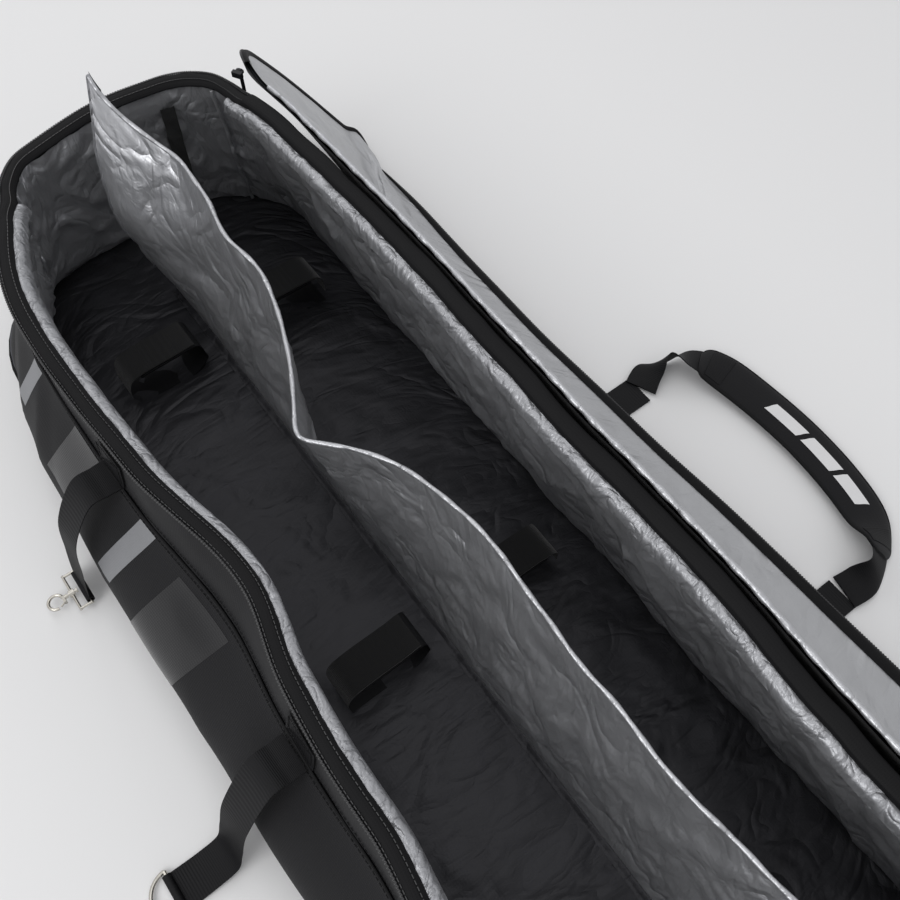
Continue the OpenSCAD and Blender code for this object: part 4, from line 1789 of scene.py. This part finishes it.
@dataclass
class CarryLoop:
    """Carry loop beside the hinge side, with its padded sleeve."""

    width: float = 38 * MM
    thick: float = 2.0 * MM
    pad_width: float = 47 * MM
    pad_thick: float = 11 * MM
    route: tuple[tuple[float, float, float], ...] = (
        (
            -0.255, 0.372, 0.006
        ), (-0.264, 0.392, 0.012), (-0.262, 0.416, 0.022), (-0.243, 0.440, 0.022),
        (
            -0.208, 0.458, 0.016
        ), (-0.150, 0.468, 0.012), (-0.089, 0.470, 0.012), (-0.030, 0.465, 0.012),
        (0.018, 0.453, 0.014), (0.052, 0.434, 0.020), (0.070, 0.410, 0.020), (0.068, 0.388, 0.010),
        (0.065, 0.372, 0.006),
    )
    pad_share: tuple[float, float] = (0.27, 0.78)

    def across(self) -> list[Vector]:
        """Direction across the web at each point: flat, on edge through the turns, then flat."""
        points = [Vector(p) for p in self.route]
        last = len(points) - 1
        found = []
        for i, point in enumerate(points):
            ahead = (points[min(i + 1, last)] - points[max(i - 1, 0)]).normalized()
            flat = ahead.cross(UP).normalized()
            t = i / last
            stand = 0.8 * bell(t, 0.17, 0.06) + 0.65 * bell(t, 0.80, 0.07)
            found.append((flat * (1 - stand) + UP * stand * 0.9).normalized())
        return found

    def sleeve_at(self, t: float, turn: float) -> Vector:
        """Point of the padded sleeve's skin.

        Args:
            t: From 0 to 1 along the sleeve.
            turn: Angle round it.

        Returns:
            The point.
        """
        points, across = [Vector(p) for p in self.route], self.across()
        a, b = self.pad_share
        u = a + (b - a) * t
        centre, side = through(points, u), through(across, u).normalized()
        ahead = (through(points, u + 0.01) - through(points, u - 0.01)).normalized()
        normal = side.cross(ahead).normalized()
        if normal.z < 0:
            normal = -normal
        end = min(t, 1 - t)
        round_end = math.sqrt(max(1 - (1 - min(end / 0.055, 1)) ** 2, 0.0))
        half_w = self.pad_width / 2 * (0.42 + 0.58 * round_end)
        half_t = self.pad_thick / 2 * (0.35 + 0.65 * min(end / 0.10, 1.0) ** 0.5)
        c, s = math.cos(turn), math.sin(turn)
        flat = math.copysign(abs(c) ** 0.8, c)
        high = math.copysign(abs(s) ** 0.75, s)
        quilt = 1 + 0.05 * noise.noise(Vector((t * 9, c * 2, s * 2)))
        return centre + side * (half_w * flat) + normal * (
            half_t * high * quilt * (1 - 0.25 * flat * flat)
        )

    def build(self) -> None:
        """Builds the web, sleeve, binding, patches and plain stripe."""
        points = [Vector(p) for p in self.route]
        web = strip("carry_web_strip", points, self.across(), self.width, self.thick, 150, 0.0006)
        settle(web, Cloth.WEBBING, "carry_loop", "carry_web")

        def sleeve(u: float, v: float) -> Vector:
            """Point of the sleeve."""
            return self.sleeve_at(0.002 + 0.996 * u, math.tau * v)

        pad = skin("padded_sleeve", (110, 32), sleeve, (0.30, 0.10))
        settle(pad, Cloth.SLEEVE, "carry_loop", "shoulder_pad")
        for i, sign in enumerate((0.0, math.pi)):

            def rim(t: float, turn: float = sign) -> Frame:
                """Centre and directions of the sleeve's binding."""
                here = self.sleeve_at(0.012 + 0.976 * t, turn)
                return here, UP, Vector((0, 1, 0))

            bead = tube(f"sleeve_binding_{i}", rim, 0.29, lambda t: 1.9 * MM, 120, 8)
            settle(bead, Cloth.TAPE, "carry_loop")
        for i, (a, b) in enumerate(((0.05, 0.14), (0.86, 0.95))):

            def patch(u: float, v: float, t0: float = a, t1: float = b) -> Vector:
                """Point of a stitched patch on the sleeve."""
                at = self.sleeve_at(t0 + (t1 - t0) * u, math.radians(35 + 110 * v))
                return at + Vector((0, 0, 0.0009))

            piece = cloth(f"sleeve_patch_{i}", (10, 12), patch, (0.028, 0.034), 0.8 * MM)
            settle(piece, Cloth.WEBBING, "carry_loop", *(["pad_patches"] if i == 0 else []))
        for i in range(3):

            def bar(u: float, v: float, k: int = i) -> Vector:
                """Point of one plain light bar printed on the sleeve."""
                t = 0.30 + 0.15 * k + 0.13 * u + 0.02 * v
                return self.sleeve_at(t, math.radians(76 + 28 * v)) + Vector((0, 0, 0.0005))

            piece = cloth(f"sleeve_print_{i}", (16, 8), bar, (0.04, 0.011))
            settle(piece, Cloth.LIGHT_INK, "carry_loop")
        low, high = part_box("carry_roots")
        for i, x in enumerate((low.x + self.width / 2, high.x - self.width / 2)):

            def root(u: float, v: float, mid: float = x) -> Vector:
                """Point of a root web, down the wall and out along the floor."""
                knots = [Vector((mid, y, z)) for y, z in ROOT_KNOTS]
                return through(knots, u) + Vector(((v - 0.5) * self.width, 0, 0))

            piece = cloth(f"carry_root_{i}", (60, 6), root, (0.34, self.width), 1.4 * MM)
            settle(piece, Cloth.WEBBING, "tub", *(["carry_roots"] if i == 0 else []))


# ------------------------------------------------------------------ studio
@dataclass
class Studio:
    """Pale floor, soft light and the camera."""

    azimuth: float = 53.29
    elevation: float = 60.96
    lens: float = 39.5
    place: tuple[float, float, float] = (0.1172, -0.1876, 0.9926)
    floor: str = "#dcdcdc"

    def build(self) -> None:
        """Builds the floor, world, lights and camera."""
        scene = bpy.context.scene
        scene.view_settings.view_transform = "Standard"
        bm = bmesh.new()
        bmesh.ops.create_grid(bm, x_segments=2, y_segments=2, size=60.0)
        ground = finish_piece("studio_floor", bm)
        material = bpy.data.materials.new("matt painted floor")
        material.use_nodes = True
        tree = material.node_tree
        tree.nodes.clear()
        shader = add_node(
            tree, "BsdfPrincipled", inputs={"Base Color": to_linear(self.floor), "Roughness": 0.95}
        )
        add_node(tree, "OutputMaterial", inputs={"Surface": shader.outputs["BSDF"]})
        ground.data.materials.append(material)
        world = bpy.data.worlds.new("soft studio")
        world.use_nodes = True
        scene.world = world
        world.node_tree.nodes["Background"].inputs["Color"].default_value = to_linear("#f6f6f8")
        world.node_tree.nodes["Background"].inputs["Strength"].default_value = 0.80
        for name, place, size, power in (
            ("overhead_box", (-0.6, 0.2, 2.5), 1.8, 9.0),
            ("key_box", (0.1, -1.9, 2.1), 1.5, 24.0),
            ("far_box", (-2.6, 0.1, 1.7), 1.2, 7.0),
        ):
            light = bpy.data.lights.new(name, "AREA")
            light.size = size
            light.energy = power
            lamp = bpy.data.objects.new(name, light)
            lamp.location = place
            lamp.rotation_euler = (
                Vector((0, 0, 0.1)) - Vector(place)
            ).to_track_quat("-Z", "Y").to_euler()
            scene.collection.objects.link(lamp)
        lens = bpy.data.cameras.new("camera")
        lens.lens = self.lens
        lens.sensor_width = 36.0
        lens.clip_start = 0.01
        camera = bpy.data.objects.new("camera", lens)
        a, e = math.radians(self.azimuth), math.radians(self.elevation)
        back = Vector((math.sin(a) * math.cos(e), -math.cos(a) * math.cos(e), math.sin(e)))
        camera.location = self.place
        camera.rotation_euler = back.to_track_quat("Z", "Y").to_euler()
        scene.collection.objects.link(camera)
        scene.camera = camera


def dress_metal(nodes: dict[str, bpy.types.Object]) -> None:
    """Gives the CAD's own metal pieces their finishes."""
    for name in ("snap_eye", "snap_hook", "snap_gate", "d_ring"):
        dress(nodes[name], Cloth.NICKEL)
    for name in ("slider_far", "slider_near", "pull_far", "pull_near"):
        dress(nodes[name], Cloth.ENAMEL)


def main() -> None:
    """Builds the bag piece by piece round the frame."""
    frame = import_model()
    Studio().build()
    plan = Plan()
    tub = Tub(plan)
    tub.build()
    Lid(plan).build()
    Divider(plan).build()
    SkiStraps().build()
    SideWebs(tub).build()
    CarryLoop().build()
    dress_metal(frame["nodes"])


if __name__ == "__main__":
    main()
